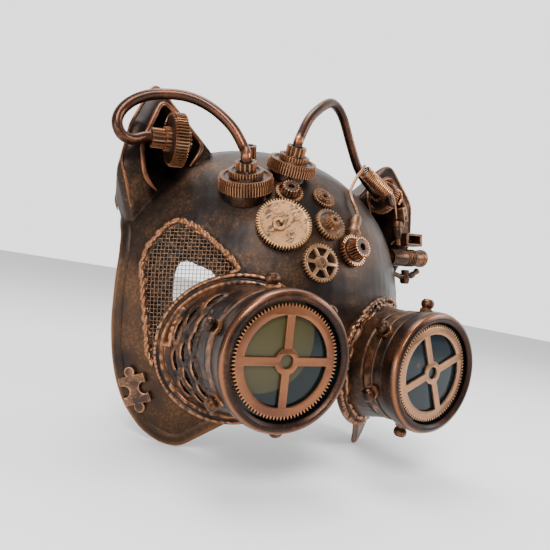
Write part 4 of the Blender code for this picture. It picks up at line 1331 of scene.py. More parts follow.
    @staticmethod
    def _joined(lines: list[Array], gap: float = 5 * MM) -> list[Array]:
        """Lines joined where their ends meet.

        Args:
            lines: open lines.
            gap: how far apart two ends may be.

        Returns:
            The longer lines.
        """
        left, made = list(lines), []
        while left:
            line = left.pop()
            grown = True
            while grown:
                grown = False
                for i, other in enumerate(left):
                    for mine, theirs in ((line, other), (line, other[::-1]), (line[::-1], other),
                                         (line[::-1], other[::-1])):
                        if np.linalg.norm(mine[-1] - theirs[0]) < gap:
                            line, grown = np.vstack([mine, theirs[1:]]), True
                            left.pop(i)
                            break
                    if grown:
                        break
            made.append(line)
        return made

    @staticmethod
    def _chains(beside: dict[int, list[int]]) -> list[list[int]]:
        """Splits linked vertices into lines that run from end to end.

        Args:
            beside: each vertex's linked vertices.

        Returns:
            The lines.
        """
        left = {(min(a, b), max(a, b)) for a, others in beside.items() for b in others}
        chains = []
        starts = sorted(beside, key=lambda i: (len(beside[i]) == 2, i))
        for start in starts:
            for first in beside[start]:
                link = (min(start, first), max(start, first))
                if link not in left:
                    continue
                left.discard(link)
                chain = [start, first]
                while len(beside[chain[-1]]) == 2:
                    ahead = [i for i in beside[chain[-1]] if i != chain[-2]]
                    link = (min(chain[-1], ahead[0]), max(chain[-1], ahead[0])) if ahead else None
                    if link is None or link not in left:
                        break
                    left.discard(link)
                    chain.append(ahead[0])
                chains.append(chain)
        return chains

    def _even_skin(self) -> Piece:
        """The model's shell as an even, closed skin of small faces."""
        mesh = self.node.data.copy()
        shape = bmesh.new()
        shape.from_mesh(mesh)
        bmesh.ops.remove_doubles(shape, verts=shape.verts, dist=1e-6)
        shape.to_mesh(mesh)
        shape.free()
        piece = bpy.data.objects.new("face_shell", mesh)
        bpy.context.scene.collection.objects.link(piece)
        step = piece.modifiers.new("even", "REMESH")
        step.mode, step.voxel_size, step.use_smooth_shade = "VOXEL", self.voxel, True
        make_plain(piece)
        return piece

    @staticmethod
    def _rim_gap(points: Array, off: Array) -> Array:
        """Distance of each vertex from the shell's trimmed edges, up to 6 mm.

        Args:
            points: the vertices.
            off: their distance outside the surface.

        Returns:
            One distance for each vertex.
        """
        rim = np.flatnonzero(np.abs(off + FORM.wall / 2) < 0.5 * MM)
        tree = KDTree(len(rim))
        for i in rim:
            tree.insert(points[i], i)
        tree.balance()
        gap = np.full(len(points), 6 * MM)
        near = np.flatnonzero((off > -FORM.wall - 1 * MM) & (off < 1 * MM))
        for i in near:
            gap[i] = min(6 * MM, tree.find(points[i])[2])
        return gap

    @staticmethod
    def _dents(points: Array, off: Array) -> Array:
        """Very slight unevenness of the moulded outer face."""
        outer = 1 - smooth_step(-off, 0.4 * MM, 1.4 * MM)
        return outer * (ripple(points, 26 * MM, 3) * 0.22 + ripple(points, 7 * MM, 4) * 0.06) * MM

    def _ear_shadow(self, points: Array, off: Array) -> Array:
        """Painted shadow inside the ears' scoops.

        Args:
            points: the vertices.
            off: their distance outside the surface.

        Returns:
            One painted shadow value for each vertex.
        """
        corners = np.array(self.ear_front) * MM
        ahead = np.roll(corners, -1, axis=0)
        winding = np.sign((corners[:, 0] * ahead[:, 1] - corners[:, 1] * ahead[:, 0]).sum())
        inside = np.full(len(points), 1e3)
        x, z = np.abs(points[:, 0]), points[:, 2]
        for a, b in zip(corners, ahead):
            along = (b - a) / np.linalg.norm(b - a)
            inside = np.minimum(inside, winding * ((z - a[1]) * along[0] - (x - a[0]) * along[1]))
        normals = np.empty(len(points) * 3, np.float32)
        self.skin.data.vertices.foreach_get("normal", normals)
        ahead_facing = smooth_step(-normals.reshape(-1, 3)[:, 1], -0.35, 0.15)
        depth = smooth_step(inside, -0.5 * MM, 3.5 * MM) * ahead_facing
        return depth * smooth_step(points[:, 1], 16 * MM, 32 * MM) * (off > -1.2 * MM)


# ---------------------------------------------------------------- goggles


@dataclass
class Goggle:
    """One goggle: cup, woven vent screen, collar with knobs, screw-off rim, cog and lens."""

    side: Side
    bars: Recipe
    teeth: Recipe
    copies: Recipe
    spacing: float = 88.4 * MM
    rim_y: float = -47 * MM
    splay: float = radians(4)
    rim_r: float = 31 * MM
    lip_r: float = 26 * MM
    skirt_r: float = 29.4 * MM
    rim_front: float = 2 * MM
    rim_back: float = -7 * MM
    lip_back: float = 0.2 * MM
    collar_r: float = 29.05 * MM
    collar_front: float = -5.8 * MM
    collar_back: float = -15.4 * MM
    cup_front: float = -15.75 * MM
    cup_r: float = 27.4 * MM
    cup_depth: float = 52 * MM
    spread_across: float = 4.5 * MM
    spread_up: float = 8 * MM
    shift: float = 2.6 * MM
    drop: float = 6 * MM
    wall: float = 0.6 * MM
    columns: int = 440
    rows: int = 92
    leaves: tuple[tuple[float, float, float], ...] = (
        (137, 23.5, 10), (155, 32, 8), (160, 19, 6), (170, 39, 4), (178, 20.5, 0), (187, 29, 0), (196, 38, -4),
        (203, 18.5, -8), (211, 28, -8), (222, 37, -12), (224, 18, -14), (234, 27.5, -14),
    )
    leaf_half: tuple[float, float] = (8.2, 4.3)
    slots: tuple[float, ...] = (45.0, 50.5)
    panel: tuple[float, float] = (168.0, 47.8)

    def __post_init__(self) -> None:
        """Sets the goggle's own axes: +Z out along it, +X to the viewer's right."""
        sign = self.side.sign
        out = Vector((sign * sin(self.splay), -cos(self.splay), 0))
        self.axes = aim(Vector((sign * self.spacing / 2, self.rim_y, 0)), out)
        self.tag = self.side.value

    def build(self) -> None:
        """Builds every piece of the goggle."""
        self.build_cup()
        self.build_flange()
        self.build_screen()
        self.build_collar()
        self.build_knobs()
        self.build_bezel()
        self.build_cog()
        self.build_lens()

    def wall_points(self, angle: Array, depth: Array, grow: Array) -> Array:
        """Points of the cup's wall in the frame.

        Args:
            angle: turn round the goggle, in radians.
            depth: depth behind the cup's front.
            grow: how far outside the plain wall.

        Returns:
            The points, one row each.
        """
        share = depth / self.cup_depth
        x = self.side.sign * self.shift * share + (self.cup_r + self.spread_across * share + grow) * np.cos(angle)
        y = (self.cup_r + self.spread_up * share + grow) * np.sin(angle) - self.drop * share
        local = np.stack([x, y, self.cup_front - depth], axis=-1)
        turn, shift = np.array(self.axes.to_3x3()), np.array(self.axes.translation)
        return local @ turn.T + shift

    def reach(self, angles: Array) -> Array:
        """Depth at which the wall meets the shell, for each angle."""
        low, high = np.full(len(angles), 2 * MM), np.full(len(angles), 62 * MM)
        for _ in range(18):
            middle = (low + high) / 2
            outside = FORM.project(self.wall_points(angles, middle, np.zeros(len(angles))))[2] > 0
            low, high = np.where(outside, middle, low), np.where(outside, high, middle)
        return (low + high) / 2

    def outside(self, points: Array) -> Array:
        """Distance of positions outside the cup's flange.

        Args:
            points: positions, one row each.

        Returns:
            The distances, about right near the flange.
        """
        local = seen_from(self.axes, points)
        share = (self.cup_front - local[:, 2]) / self.cup_depth
        across = self.cup_r + self.spread_across * share + 3.6 * MM
        up = self.cup_r + self.spread_up * share + 3.6 * MM
        x, y = local[:, 0] - self.side.sign * self.shift * share, local[:, 1] + self.drop * share
        return (np.hypot(x / across, y / up) - 1) * (across + up) / 2

    def outer_angle(self, angle: Array) -> Array:
        """Degrees from the nose side, over the top, to the outer side, below 360."""
        turned = angle if self.side is Side.LEFT else pi - angle
        return np.degrees(turned) % 360

    def build_cup(self) -> None:
        """Builds the wall with its groove, raised leaves, slot panel and see-through slits."""
        angles = np.linspace(0, 2 * pi, self.columns, endpoint=False)
        reach = self.reach(angles)
        share = np.linspace(0, 1, self.rows)
        turn = np.repeat(angles[:, None], self.rows, axis=1)
        depth = share[None, :] * (reach[:, None] + 0.8 * MM)
        grow = self._relief(turn, depth, np.repeat(reach[:, None], self.rows, axis=1))
        points = self.wall_points(turn.ravel(), depth.ravel(), grow.ravel())
        mid_turn = turn[:, :-1] + pi / self.columns
        mid_depth = (depth[:, :-1] + depth[:, 1:]) / 2
        open_face = self._openings(mid_turn, mid_depth)
        faces = []
        for i in range(self.columns):
            j = (i + 1) % self.columns
            faces += [(i * self.rows + k, i * self.rows + k + 1, j * self.rows + k + 1, j * self.rows + k)
                      for k in range(self.rows - 1) if not open_face[i, k]]
        form = Form()
        form.add(points, faces)
        piece = form.piece(f"cup_{self.tag}", CUP, weld=False, angle=60)
        self._trim_loose(piece)
        step = piece.modifiers.new("wall", "SOLIDIFY")
        step.thickness, step.offset = self.wall, 1.0
        make_plain(piece)
        # Creases between the leaves get grime and painted shade; the next line replaces the wear with the crests.
        mark_wear_and_shade_dense(piece, 1, 0.09, 0.36)
        store(piece.data, "wear", self._crests(vertex_array(piece.data)))
        settle(piece, "mask", "cup_copper", f"goggle_cup_{self.tag}")

    def _crests(self, points: Array) -> Array:
        """How rubbed the wall is: the leaves' crests, the slot panel and the rim of the groove.

        Args:
            points: the wall's vertices.

        Returns:
            One wear value for each vertex.
        """
        local = seen_from(self.axes, points)
        depth = self.cup_front - local[:, 2]
        share = depth / self.cup_depth
        x, y = local[:, 0] - self.side.sign * self.shift * share, local[:, 1] + self.drop * share
        plain = np.hypot(x / (self.cup_r + self.spread_across * share), y / (self.cup_r + self.spread_up * share))
        lift = (plain - 1) * (self.cup_r + 6 * MM * share)
        degrees_round = self.outer_angle(np.arctan2(y, x))
        flank = smooth_step(degrees_round, 112, 126) * (1 - smooth_step(degrees_round, 236, 250))
        patchy = 0.65 + 0.5 * ripple(points, 6 * MM, 13)
        crest = smooth_step(lift, 0.5 * MM, 1.5 * MM) * smooth_step(depth, 7 * MM, 9 * MM)
        lip = smooth_step(lift, 0.9 * MM, 1.5 * MM) * (1 - smooth_step(depth, 6 * MM, 8 * MM))
        return np.clip(np.maximum(crest * (0.35 + 0.6 * flank), lip * 0.5) * patchy, 0, 1)

    @staticmethod
    def _trim_loose(piece: Piece) -> None:
        """Drops unused vertices, evens the openings' edges and faces everything inwards for the wall."""
        shape = bmesh.new()
        shape.from_mesh(piece.data)
        bmesh.ops.delete(shape, geom=[v for v in shape.verts if not v.link_faces], context="VERTS")
        for _ in range(3):
            border = [v for v in shape.verts if any(e.is_boundary for e in v.link_edges)]
            moved = {}
            for vert in border:
                beside = [e.other_vert(vert).co for e in vert.link_edges if e.is_boundary]
                if len(beside) == 2:
                    moved[vert] = vert.co.lerp((beside[0] + beside[1]) / 2, 0.5)
            for vert, spot in moved.items():
                vert.co = spot
        shape.normal_update()
        centre = sum((v.co for v in shape.verts), Vector()) / len(shape.verts)
        outward = sum(1 if f.normal.dot(f.calc_center_median() - centre) > 0 else -1 for f in shape.faces)
        if outward < 0:
            bmesh.ops.reverse_faces(shape, faces=shape.faces)
        shape.to_mesh(piece.data)
        shape.free()

    def _leaf_frames(self, turn: Array, depth: Array) -> list[tuple[Array, Array]]:
        """Positions along and across each leaf, in millimetres.

        Args:
            turn: turn round the goggle.
            depth: depth behind the cup's front.

        Returns:
            For each leaf, its along and across values.
        """
        degrees_round = self.outer_angle(turn)
        frames = []
        for angle, deep, tilt in self.leaves:
            round_mm = (degrees_round - angle) * pi / 180 * (self.cup_r / MM + 4)
            back_mm = depth / MM - deep
            t = radians(tilt)
            frames.append((round_mm * cos(t) + back_mm * sin(t), back_mm * cos(t) - round_mm * sin(t)))
        return frames

    def _relief(self, turn: Array, depth: Array, reach: Array) -> Array:
        """How far each point of the wall stands out.

        Args:
            turn: turn round the goggle.
            depth: depth behind the cup's front.
            reach: depth of the wall's foot there.

        Returns:
            The relief in metres.
        """
        mm = depth / MM
        groove = smooth_step(mm, 4.4, 5.4) * (1 - smooth_step(mm, 6.2, 8.0))
        grow = 1.1 * (1 - smooth_step(mm, 3.6, 5.0)) - 1.9 * groove
        foot = (reach - depth) / MM
        grow = grow + 1.4 * (1 - smooth_step(foot, 0.0, 5.5)) ** 2
        degrees_round = self.outer_angle(turn)
        field_of_leaves = smooth_step(degrees_round, 112, 126) * (1 - smooth_step(degrees_round, 236, 250))
        field_of_leaves = field_of_leaves * smooth_step(mm, 7, 9) * smooth_step(foot, 2, 5)
        plates = np.zeros_like(mm)
        for along, across in self._leaf_frames(turn, depth):
            length, width = self.leaf_half
            dome = np.sqrt(np.clip(1 - (along / length) ** 2 - (across / width) ** 2, 0, 1))
            plates = np.maximum(plates, dome)
        grow = grow + field_of_leaves * (plates * 1.9 - 1.1)
        angle, deep = self.panel
        panel_round = np.abs((degrees_round - angle) * pi / 180 * (self.cup_r / MM + 4))
        panel_deep = np.abs(mm - deep)
        panel = smooth_step(9.6 - panel_round, 0, 0.8) * smooth_step(7.2 - panel_deep, 0, 0.7)
        frame = panel * (1 - smooth_step(8.2 - panel_round, 0, 0.8) * smooth_step(5.9 - panel_deep, 0, 0.7))
        bars = smooth_step(np.cos((mm - deep) * 2 * pi / 2.75), 0.2, 0.9) * 0.55
        grow = np.where(panel > 0, grow * (1 - panel) + panel * (0.2 + 1.2 * frame + bars), grow)
        spots = self.wall_points(turn.ravel(), depth.ravel(), np.zeros(turn.size))
        fine, coarse = ripple(spots, 5 * MM, 11).reshape(turn.shape), ripple(spots, 13 * MM, 12).reshape(turn.shape)
        worn = fine * 0.10 + coarse * 0.15
        return (grow + worn * smooth_step(mm, 6, 10)) * MM

    def _openings(self, turn: Array, depth: Array) -> Array:
        """Which of the wall's faces are cut away.

        Args:
            turn: turn of each face's middle.
            depth: its depth.

        Returns:
            True where the wall is open.
        """
        open_face = np.zeros(turn.shape, bool)
        for along, across in self._leaf_frames(turn, depth):
            half = 1.2 * np.sqrt(np.clip(1 - (along / 5.0) ** 2, 0, 1))
            open_face |= np.abs(across + 0.42 * self.leaf_half[1]) < half
        round_mm = (self.outer_angle(turn) - self.panel[0]) * pi / 180 * (self.cup_r / MM + 4)
        for deep in self.slots:
            open_face |= (np.abs(round_mm) < 6.9) & (np.abs(depth / MM - deep) < 0.9)
        return open_face

    def build_flange(self) -> None:
        """Builds the raised moulding where the cup meets the shell."""
        count = 300
        angles = np.linspace(0, 2 * pi, count, endpoint=False)
        foot = self.wall_points(angles, self.reach(angles), np.full(count, 1.8 * MM))
        theta, phi, _ = FORM.project(foot)
        base, out = FORM.point(theta, phi), FORM.normal(theta, phi)
        along = np.roll(base, -1, axis=0) - np.roll(base, 1, axis=0)
        away = np.cross(along, out)
        away /= np.linalg.norm(away, axis=1, keepdims=True)
        away *= np.sign((away * (base - base.mean(axis=0))).sum(1))[:, None]
        wave, fine = ripple(base, 9 * MM, 21), ripple(base, 3.2 * MM, 22)
        knotty = 0.10 if self.side is Side.LEFT else 0.34

        def section(k: int) -> Loop:
            """The moulding's outline at one point."""
            a = 1 + knotty * wave[k]
            b = 1 + knotty * fine[k]
            outline = ((-2.4, -0.7), (-2.2, 2.6 * a), (-1.4, 3.4 * a), (-0.4, 3.5 * a), (0.3, 2.9), (0.7, 2.0),
                       (1.2, 1.8), (1.6, 2.1 * b), (2.2, 2.9 * b), (3.1, 2.9 * b), (3.8, 1.9), (4.2, 0.3), (4.2, -0.7))
            return in_mm(outline)

        form = Form().band(base, away, out, section)
        if self.side is Side.RIGHT:
            for strand in range(3):
                phase = np.arange(count) * 2 * pi * 4 / count + strand * 2.1
                lift = 2.4 + 0.8 * np.sin(phase) + 0.5 * fine
                shift = 0.6 + 2.6 * np.cos(phase + 0.9 * wave)
                line = base + out * (lift * MM)[:, None] + away * (shift * MM)[:, None]
                form.bar([Vector(p) for p in line[int(count * 0.18):int(count * 0.56)]], 0.75 * MM, 10)
        piece = form.piece(f"flange_{self.tag}", CUP, angle=70)
        mark_wear_and_shade_dense(piece, 0, 0.05, 0.30)
        settle(piece, "mask", "cup_copper")

    def build_screen(self) -> None:
        """Builds the woven wire sleeve behind the cup's slits."""
        form = Form()
        around, deep = 112, 30
        for i in range(around):
            angle = 2 * pi * i / around
            depths = np.linspace(5 * MM, float(self.reach(np.array([angle]))[0]) - 1 * MM, 26)
            weave = 0.16 * MM * np.cos(np.arange(26) * pi + i * pi)
            form.line(self.wall_points(np.full(26, angle), depths, -self.wall - 0.8 * MM + weave))
        turns = np.linspace(0, 2 * pi, 220, endpoint=False)
        limit = self.reach(turns)
        for k in range(deep):
            depth = np.minimum(5 * MM + k * 1.6 * MM, limit - 1 * MM)
            weave = 0.16 * MM * np.cos(turns * around / 2 + k * pi)
            form.line(self.wall_points(turns, depth, -self.wall - 0.8 * MM + weave), True)
        piece = form.piece(f"vent_screen_wires_{self.tag}")
        store(piece.data, "thick", np.ones(len(piece.data.vertices)))
        self.bars.run(piece, WIRE, Radius=0.16 * MM, Sides=4)
        settle(mark_wear_and_shade(piece), "mask", "screen_wire", f"vent_screen_{self.tag}")

    def build_collar(self) -> None:
        """Builds the worn collar with its knob ring and rear bead."""
        low, high = self.collar_back, self.collar_front
        inner = self.collar_r - 2.4 * MM
        r, mm = self.collar_r, MM
        corners = ((inner, low), (r - 0.2 * mm, low), (r + 0.5 * mm, low + 0.3 * mm), (r + 0.5 * mm, low + 1.2 * mm),
                   (r - 0.35 * mm, low + 1.5 * mm), (r - 0.2 * mm, low + 2.2 * mm), (r + 0.1 * mm, low + 4.6 * mm),
                   (r + 0.2 * mm, low + 6.4 * mm), (r - 0.5 * mm, low + 6.9 * mm), (r - 0.5 * mm, low + 7.9 * mm),
                   (r, low + 8.3 * mm), (r, high), (inner, high))
        piece = Form().lathe(corners, self.axes, 160, 0.3 * MM, True).piece(f"collar_{self.tag}", COLLAR)
        settle(mark_wear_and_shade(piece), "mask", "collar_metal", f"goggle_collar_{self.tag}")

    def build_knobs(self) -> None:
        """Builds the six ball-topped knobs on nut-like feet."""
        knob = Form()
        knob.plate([[(3.5 * MM * cos(pi / 3 * i), 3.5 * MM * sin(pi / 3 * i)) for i in range(6)]], -0.6 * MM, 1.5 * MM,
                   None, 0.25 * MM)
        knob.lathe(((0, 0.8 * MM), (2.7 * MM, 0.8 * MM), (2.55 * MM, 2.2 * MM), (3.1 * MM, 2.7 * MM),
                    (3.45 * MM, 3.9 * MM), (3.3 * MM, 5.4 * MM), (2.3 * MM, 6.6 * MM), (0, 7.0 * MM)), None, 24,
                   0.5 * MM)
        piece = knob.piece(f"knobs_{self.tag}", KNOB)
        start = radians(42 if self.side is Side.LEFT else 26)
        self.copies.run(piece, KNOB, Count=6, Radius=self.collar_r + 0.9 * MM,
                        Height=self.collar_back + 2.4 * MM, Start=start)
        piece.data.transform(self.axes)
        names = [f"collar_knob_{self.tag}_{i}" for i in range(1, 7)]
        # The second number is painted shade on the undersides.
        settle(mark_wear_and_shade(piece, 0.3), "mask", "knob_brass", *names)

    def build_bezel(self) -> None:
        """Builds the screw-off rim."""
        front, back = self.rim_front, self.rim_back
        corners = ((self.skirt_r, back), (self.rim_r - 0.5 * MM, back), (self.rim_r, back + 0.5 * MM),
                   (self.rim_r, front - 3.0 * MM), (self.rim_r - 0.9 * MM, front - 0.9 * MM),
                   (self.rim_r - 2.7 * MM, front), (self.rim_r - 3.6 * MM, front - 0.1 * MM),
                   (self.lip_r + 0.6 * MM, front - 0.9 * MM), (self.lip_r, front - 1.3 * MM),
                   (self.lip_r, self.lip_back), (self.skirt_r, self.lip_back))
        piece = Form().lathe(corners, self.axes, 180, 0.7 * MM, True).piece(f"rim_{self.tag}", BEZEL)

        def rubbed(points: Array) -> tuple[Array, Array]:
            """Handled outer corner, and darker at the lip."""
            local = seen_from(self.axes, points)
            radius = np.hypot(local[:, 0], local[:, 1])
            crown = smooth_step(radius, self.rim_r - 2.0 * MM, self.rim_r - 0.8 * MM) * smooth_step(
                local[:, 2], front - 3.2 * MM, front - 1.2 * MM)
            return crown * 0.75, (1 - smooth_step(radius, self.lip_r, self.lip_r + 0.9 * MM)) * 0.7

        settle(mark_wear_and_shade(piece, 0, rubbed), f"{self.tag}_bezel", "bezel_metal", f"bezel_ring_{self.tag}")

    def build_cog(self) -> None:
        """Builds the four-spoked wheel with fine teeth in front of the lens."""
        front = self.lip_back - 0.9 * MM
        low, root, inner, hub, hole = front - 1.1 * MM, 23.5 * MM, 19.8 * MM, 5.7 * MM, 3.1 * MM
        round_line = [(root * cos(2 * pi * i / 180), root * sin(2 * pi * i / 180)) for i in range(180)]
        holes = []
        for k in range(4):
            start, half = k * pi / 2, 1.85 * MM
            edge, neck = atan2(half, inner), atan2(half, sqrt(hub ** 2 - half ** 2))
            arc = [(inner * cos(start + edge + (pi / 2 - 2 * edge) * i / 24),
                    inner * sin(start + edge + (pi / 2 - 2 * edge) * i / 24)) for i in range(25)]
            arc += [(hub * cos(start + pi / 2 - neck - (pi / 2 - 2 * neck) * i / 8),
                     hub * sin(start + pi / 2 - neck - (pi / 2 - 2 * neck) * i / 8)) for i in range(9)]
            holes.append(fillet(arc, 0.7 * MM, 3))
        holes.append([(hole * cos(2 * pi * i / 40), hole * sin(2 * pi * i / 40)) for i in range(40)])
        piece = Form().plate([round_line, *holes], low, front, None, 0.12 * MM).piece(f"cog_{self.tag}", ROSE)
        finish = COG_LEFT if self.side is Side.LEFT else ROSE
        self.teeth.run(piece, finish, Count=92, Root=root, Depth=1.35 * MM, Width=1.15 * MM, Taper=0.72,
                       Thickness=0.95 * MM, Middle=(low + front) / 2)
        turn = radians(4 if self.side is Side.LEFT else 26)
        piece.data.transform(self.axes @ Matrix.Rotation(turn, 4, "Z"))
        settle(mark_wear_and_shade(piece), f"{self.tag}_bezel", "cog_rose", f"cog_insert_{self.tag}")

    def build_lens(self) -> None:
        """Builds the slightly domed dark lens."""
        front = self.lip_back - 0.9 * MM - 1.1 * MM - 0.35 * MM
        rim = self.skirt_r - 0.35 * MM
        dome = [(rim * sin(t), front - 0.9 * MM * sin(t) ** 2) for t in np.linspace(pi / 2, 0, 14)]
        corners = [(0, front - 1.5 * MM), (rim, front - 1.5 * MM), *dome[:-1], (0, front)]
        # The centre and the spot place painted reflections: an olive patch on the left lens and a small light spot on
        # the right lens.
        centre = self.axes @ Vector((-11 * MM, 9 * MM, front))
        if self.side is Side.LEFT:
            finish = LensFinish("lens_olive_painted_reflection", (0.004, 0.008, 0.009), (0.050, 0.041, 0.014), tuple(centre), 23.5)
        else:
            spot = self.axes @ Vector((-10 * MM, 3 * MM, front))
            finish = LensFinish("lens_teal_painted_reflection", (0.005, 0.011, 0.015), (0.045, 0.030, 0.021), tuple(spot), 1.5)
        piece = Form().lathe(corners, self.axes, 96, 0.05 * MM).piece(f"lens_{self.tag}")
        piece.data.materials.append(finish.material())
        settle(piece, f"{self.tag}_bezel", "lens", f"dark_lens_{self.tag}")


# ---------------------------------------------------------------- gears


@dataclass(frozen=True)
class Tier:
    """One toothed or plain step of a gear, in millimetres."""

    teeth: int
    tip: float
    tooth: float
    low: float
    high: float
    lip: float = 0.0


@dataclass
class GearTrain:
    """All the clock gears: forehead stacks, flat gears and the gears in the ears."""

    teeth: Recipe
    forehead: tuple[tuple[str, tuple[float, float], Optional[Point], float, float, tuple[Tier, ...], float], ...] = (
        ("gear_stack_left", (-40, 38.9), (-0.363, -0.387, 0.848), -1, 12.4,
         (Tier(62, 14.6, 1.2, 1.5, 6.6), Tier(62, 13.9, 1.0, 6.6, 8.5, 0.9), Tier(36, 9.2, 0.9, 8.5, 11.5, 0.7),
          Tier(14, 5.6, 1.0, 11.5, 15.8)), 3.2),
        ("gear_stack_right", (-20.8, 50.8), (-0.137, -0.416, 0.899), 0, 8.3,
         (Tier(58, 13.6, 1.15, 2.5, 7.0), Tier(58, 12.9, 1.0, 7.0, 8.8, 0.9), Tier(34, 8.4, 0.9, 8.8, 11.5, 0.7),
          Tier(14, 5.5, 1.0, 11.5, 16.5)), 3.2),
        ("double_gear", (-21.5, 39.9), None, 0, 5.6, (Tier(32, 7.6, 1.0, 0.6, 2.4, 0.5), Tier(16, 4.5, 0.7, 2.4, 6.2)),
         1.6),
        ("skeleton_gear", (-4, 41.4), None, 0, 4.6, (Tier(28, 6.7, 0.95, 0.2, 1.6, 0.4), Tier(14, 3.2, 0.5, 1.6, 2.6)),
         1.0),
        ("drum_gear", (6.2, 22.1), None, 0, 6.6, (Tier(30, 8.7, 1.2, 0.6, 2.8, 0.4), Tier(22, 5.4, 0.7, 2.8, 9.0)),
         1.8),
        ("rear_pinion", (-46.7, 60.1), None, 0, 2.2, (Tier(14, 3.8, 0.7, 0.0, 7.0),), 1.4),
    )
    ear_left: tuple[Tier, ...] = (Tier(14, 5.2, 0.9, -13.2, -6.4), Tier(18, 6.4, 0.7, -6.4, -3.5),
                                  Tier(54, 13.6, 0.9, -3.5, -2.6), Tier(54, 14.2, 1.1, -2.6, 3.5, 0.9),
                                  Tier(14, 5.4, 0.9, 3.5, 7.5))
    ear_right: tuple[Tier, ...] = (Tier(14, 4.8, 0.8, -10, -2.9), Tier(46, 10.6, 0.9, -2.9, -2.0),
                                   Tier(46, 11.2, 1.0, -2.0, 2.9, 0.7), Tier(14, 4.8, 0.8, 2.9, 7))

    def build(self) -> None:
        """Builds every gear."""
        for name, seat, axis, lift, foot, tiers, bore in self.forehead:
            matrix = FORM.seat(*seat, axis, lift * MM)
            slot = "stack_copper" if name.startswith("gear_stack") else "gear_dark"
            finish = STACK if name.startswith("gear_stack") else GEAR_DARK
            piece = self.stack(name, tiers, foot, bore, finish)
            self.finish_gear(piece, name, matrix, slot, max(t.tip for t in tiers))
        for side, centre, axis, tiers, bore in (
                ("left", (-79.8, 41, 97.3), (0.98, -0.05, 0.16), self.ear_left, 3.2),
                ("right", (70.5, 44, 100.5), (-0.96, -0.2, 0.16), self.ear_right, 3.2)):
            piece = self.stack(f"ear_gears_{side}", tiers, 0, bore, STACK)
            self.finish_gear(piece, f"ear_gears_{side}", aim(Vector(centre) * MM, axis), "stack_copper",
                             max(t.tip for t in tiers))
        self.build_scratched()
        self.build_dished()
        self.build_spoked()

    def stack(self, name: str, tiers: Sequence[Tier], foot: float, bore: float, finish: Finish) -> Piece:
        """Turns a gear's steps and puts their teeth on.

        Args:
            name: the node that the gear stands for.
            tiers: its steps, from the foot up.
            foot: radius of its foot, or 0 for none.
            bore: radius of the hole in its top step.
            finish: its finish.

        Returns:
            The gear, standing along Z at the origin.
        """
        base = Form()
        corners: list[tuple[float, float]] = [(0, tiers[0].low - 0.2)]
        if foot:
            corners = [(0, -4.5), (foot, -4.5), (foot, tiers[0].low)]
        for k, tier in enumerate(tiers):
            root = tier.tip - tier.tooth
            after = tiers[k + 1].tip - tiers[k + 1].tooth if k + 1 < len(tiers) else 0
            before = tiers[k - 1].tip - tiers[k - 1].tooth if k else foot
            corners.append((min(root - 0.6, max(before, 0.4)) if before < root else root, tier.low))
            corners += [(root, tier.low + 0.15), (root, tier.high - 0.15)]
            if tier.lip and after < root - 2:
                corners += [(root - 1.0, tier.high), (root - 1.5, tier.high - tier.lip),
                            (max(after + 0.6, 1.0), tier.high - tier.lip)]
            elif after < root:
                corners.append((root - 0.3, tier.high))
        top = tiers[-1].high
        if name == "ear_gears_left":
            corners[0] = (bore * 0.8, tiers[0].low + 2.4)
            corners.insert(1, (bore, tiers[0].low))
            corners.insert(0, (0, tiers[0].low + 2.4))
            corners.append((0, top))
        elif bore:
            corners += [(bore + 0.3, top), (bore, top - 0.3), (bore, top - 2.4), (0, top - 2.4)]
        else:
            corners.append((0, top))
        clean = [corners[0]] + [b for a, b in zip(corners, corners[1:]) if abs(a[0] - b[0]) + abs(a[1] - b[1]) > 0.02]
        base.lathe([(max(0.0, r) * MM, h * MM) for r, h in clean], None, 96, 0.12 * MM)
        piece = base.piece(f"{name}_gear", finish)
        for tier in tiers:
            pitch = 2 * pi * (tier.tip - tier.tooth) / tier.teeth
            self.teeth.run(piece, finish, Count=tier.teeth, Root=(tier.tip - tier.tooth) * MM, Depth=tier.tooth * MM,
                           Width=0.60 * pitch * MM, Taper=0.45, Thickness=(tier.high - tier.low - 0.1) * MM,
                           Middle=(tier.low + tier.high) / 2 * MM)
        return piece

    def finish_gear(self, piece: Piece, name: str, matrix: Matrix, slot: str, tip: float,
                    *more: str) -> Piece:
        """Marks rubbed teeth, and roots darkened with grime and painted shade, then stands the gear in its place.

        Args:
            piece: the gear along Z at the origin.
            name: the node that it stands for.
            matrix: where it stands.
            slot: its material slot.
            tip: radius of its largest step's teeth, in millimetres.

        Returns:
            The gear.
        """
        def marks(points: Array) -> tuple[Array, Array]:
            """Bright tips and dark hollows by radius."""
            radius = np.hypot(points[:, 0], points[:, 1]) / MM
            patchy = 0.55 + 0.45 * ripple(points, 5 * MM, len(name))
            return smooth_step(radius, tip - 0.5, tip - 0.1) * 0.55 * patchy, 0.25 * smooth_step(-radius, -3.0, -1.0)

        mark_wear_and_shade(piece, 0, marks)
        piece.data.transform(matrix)
        if not name.startswith("ear"):
            keep_in_wall(piece)
        piece.data.update()
        return settle(piece, "mask", slot, name, *more)

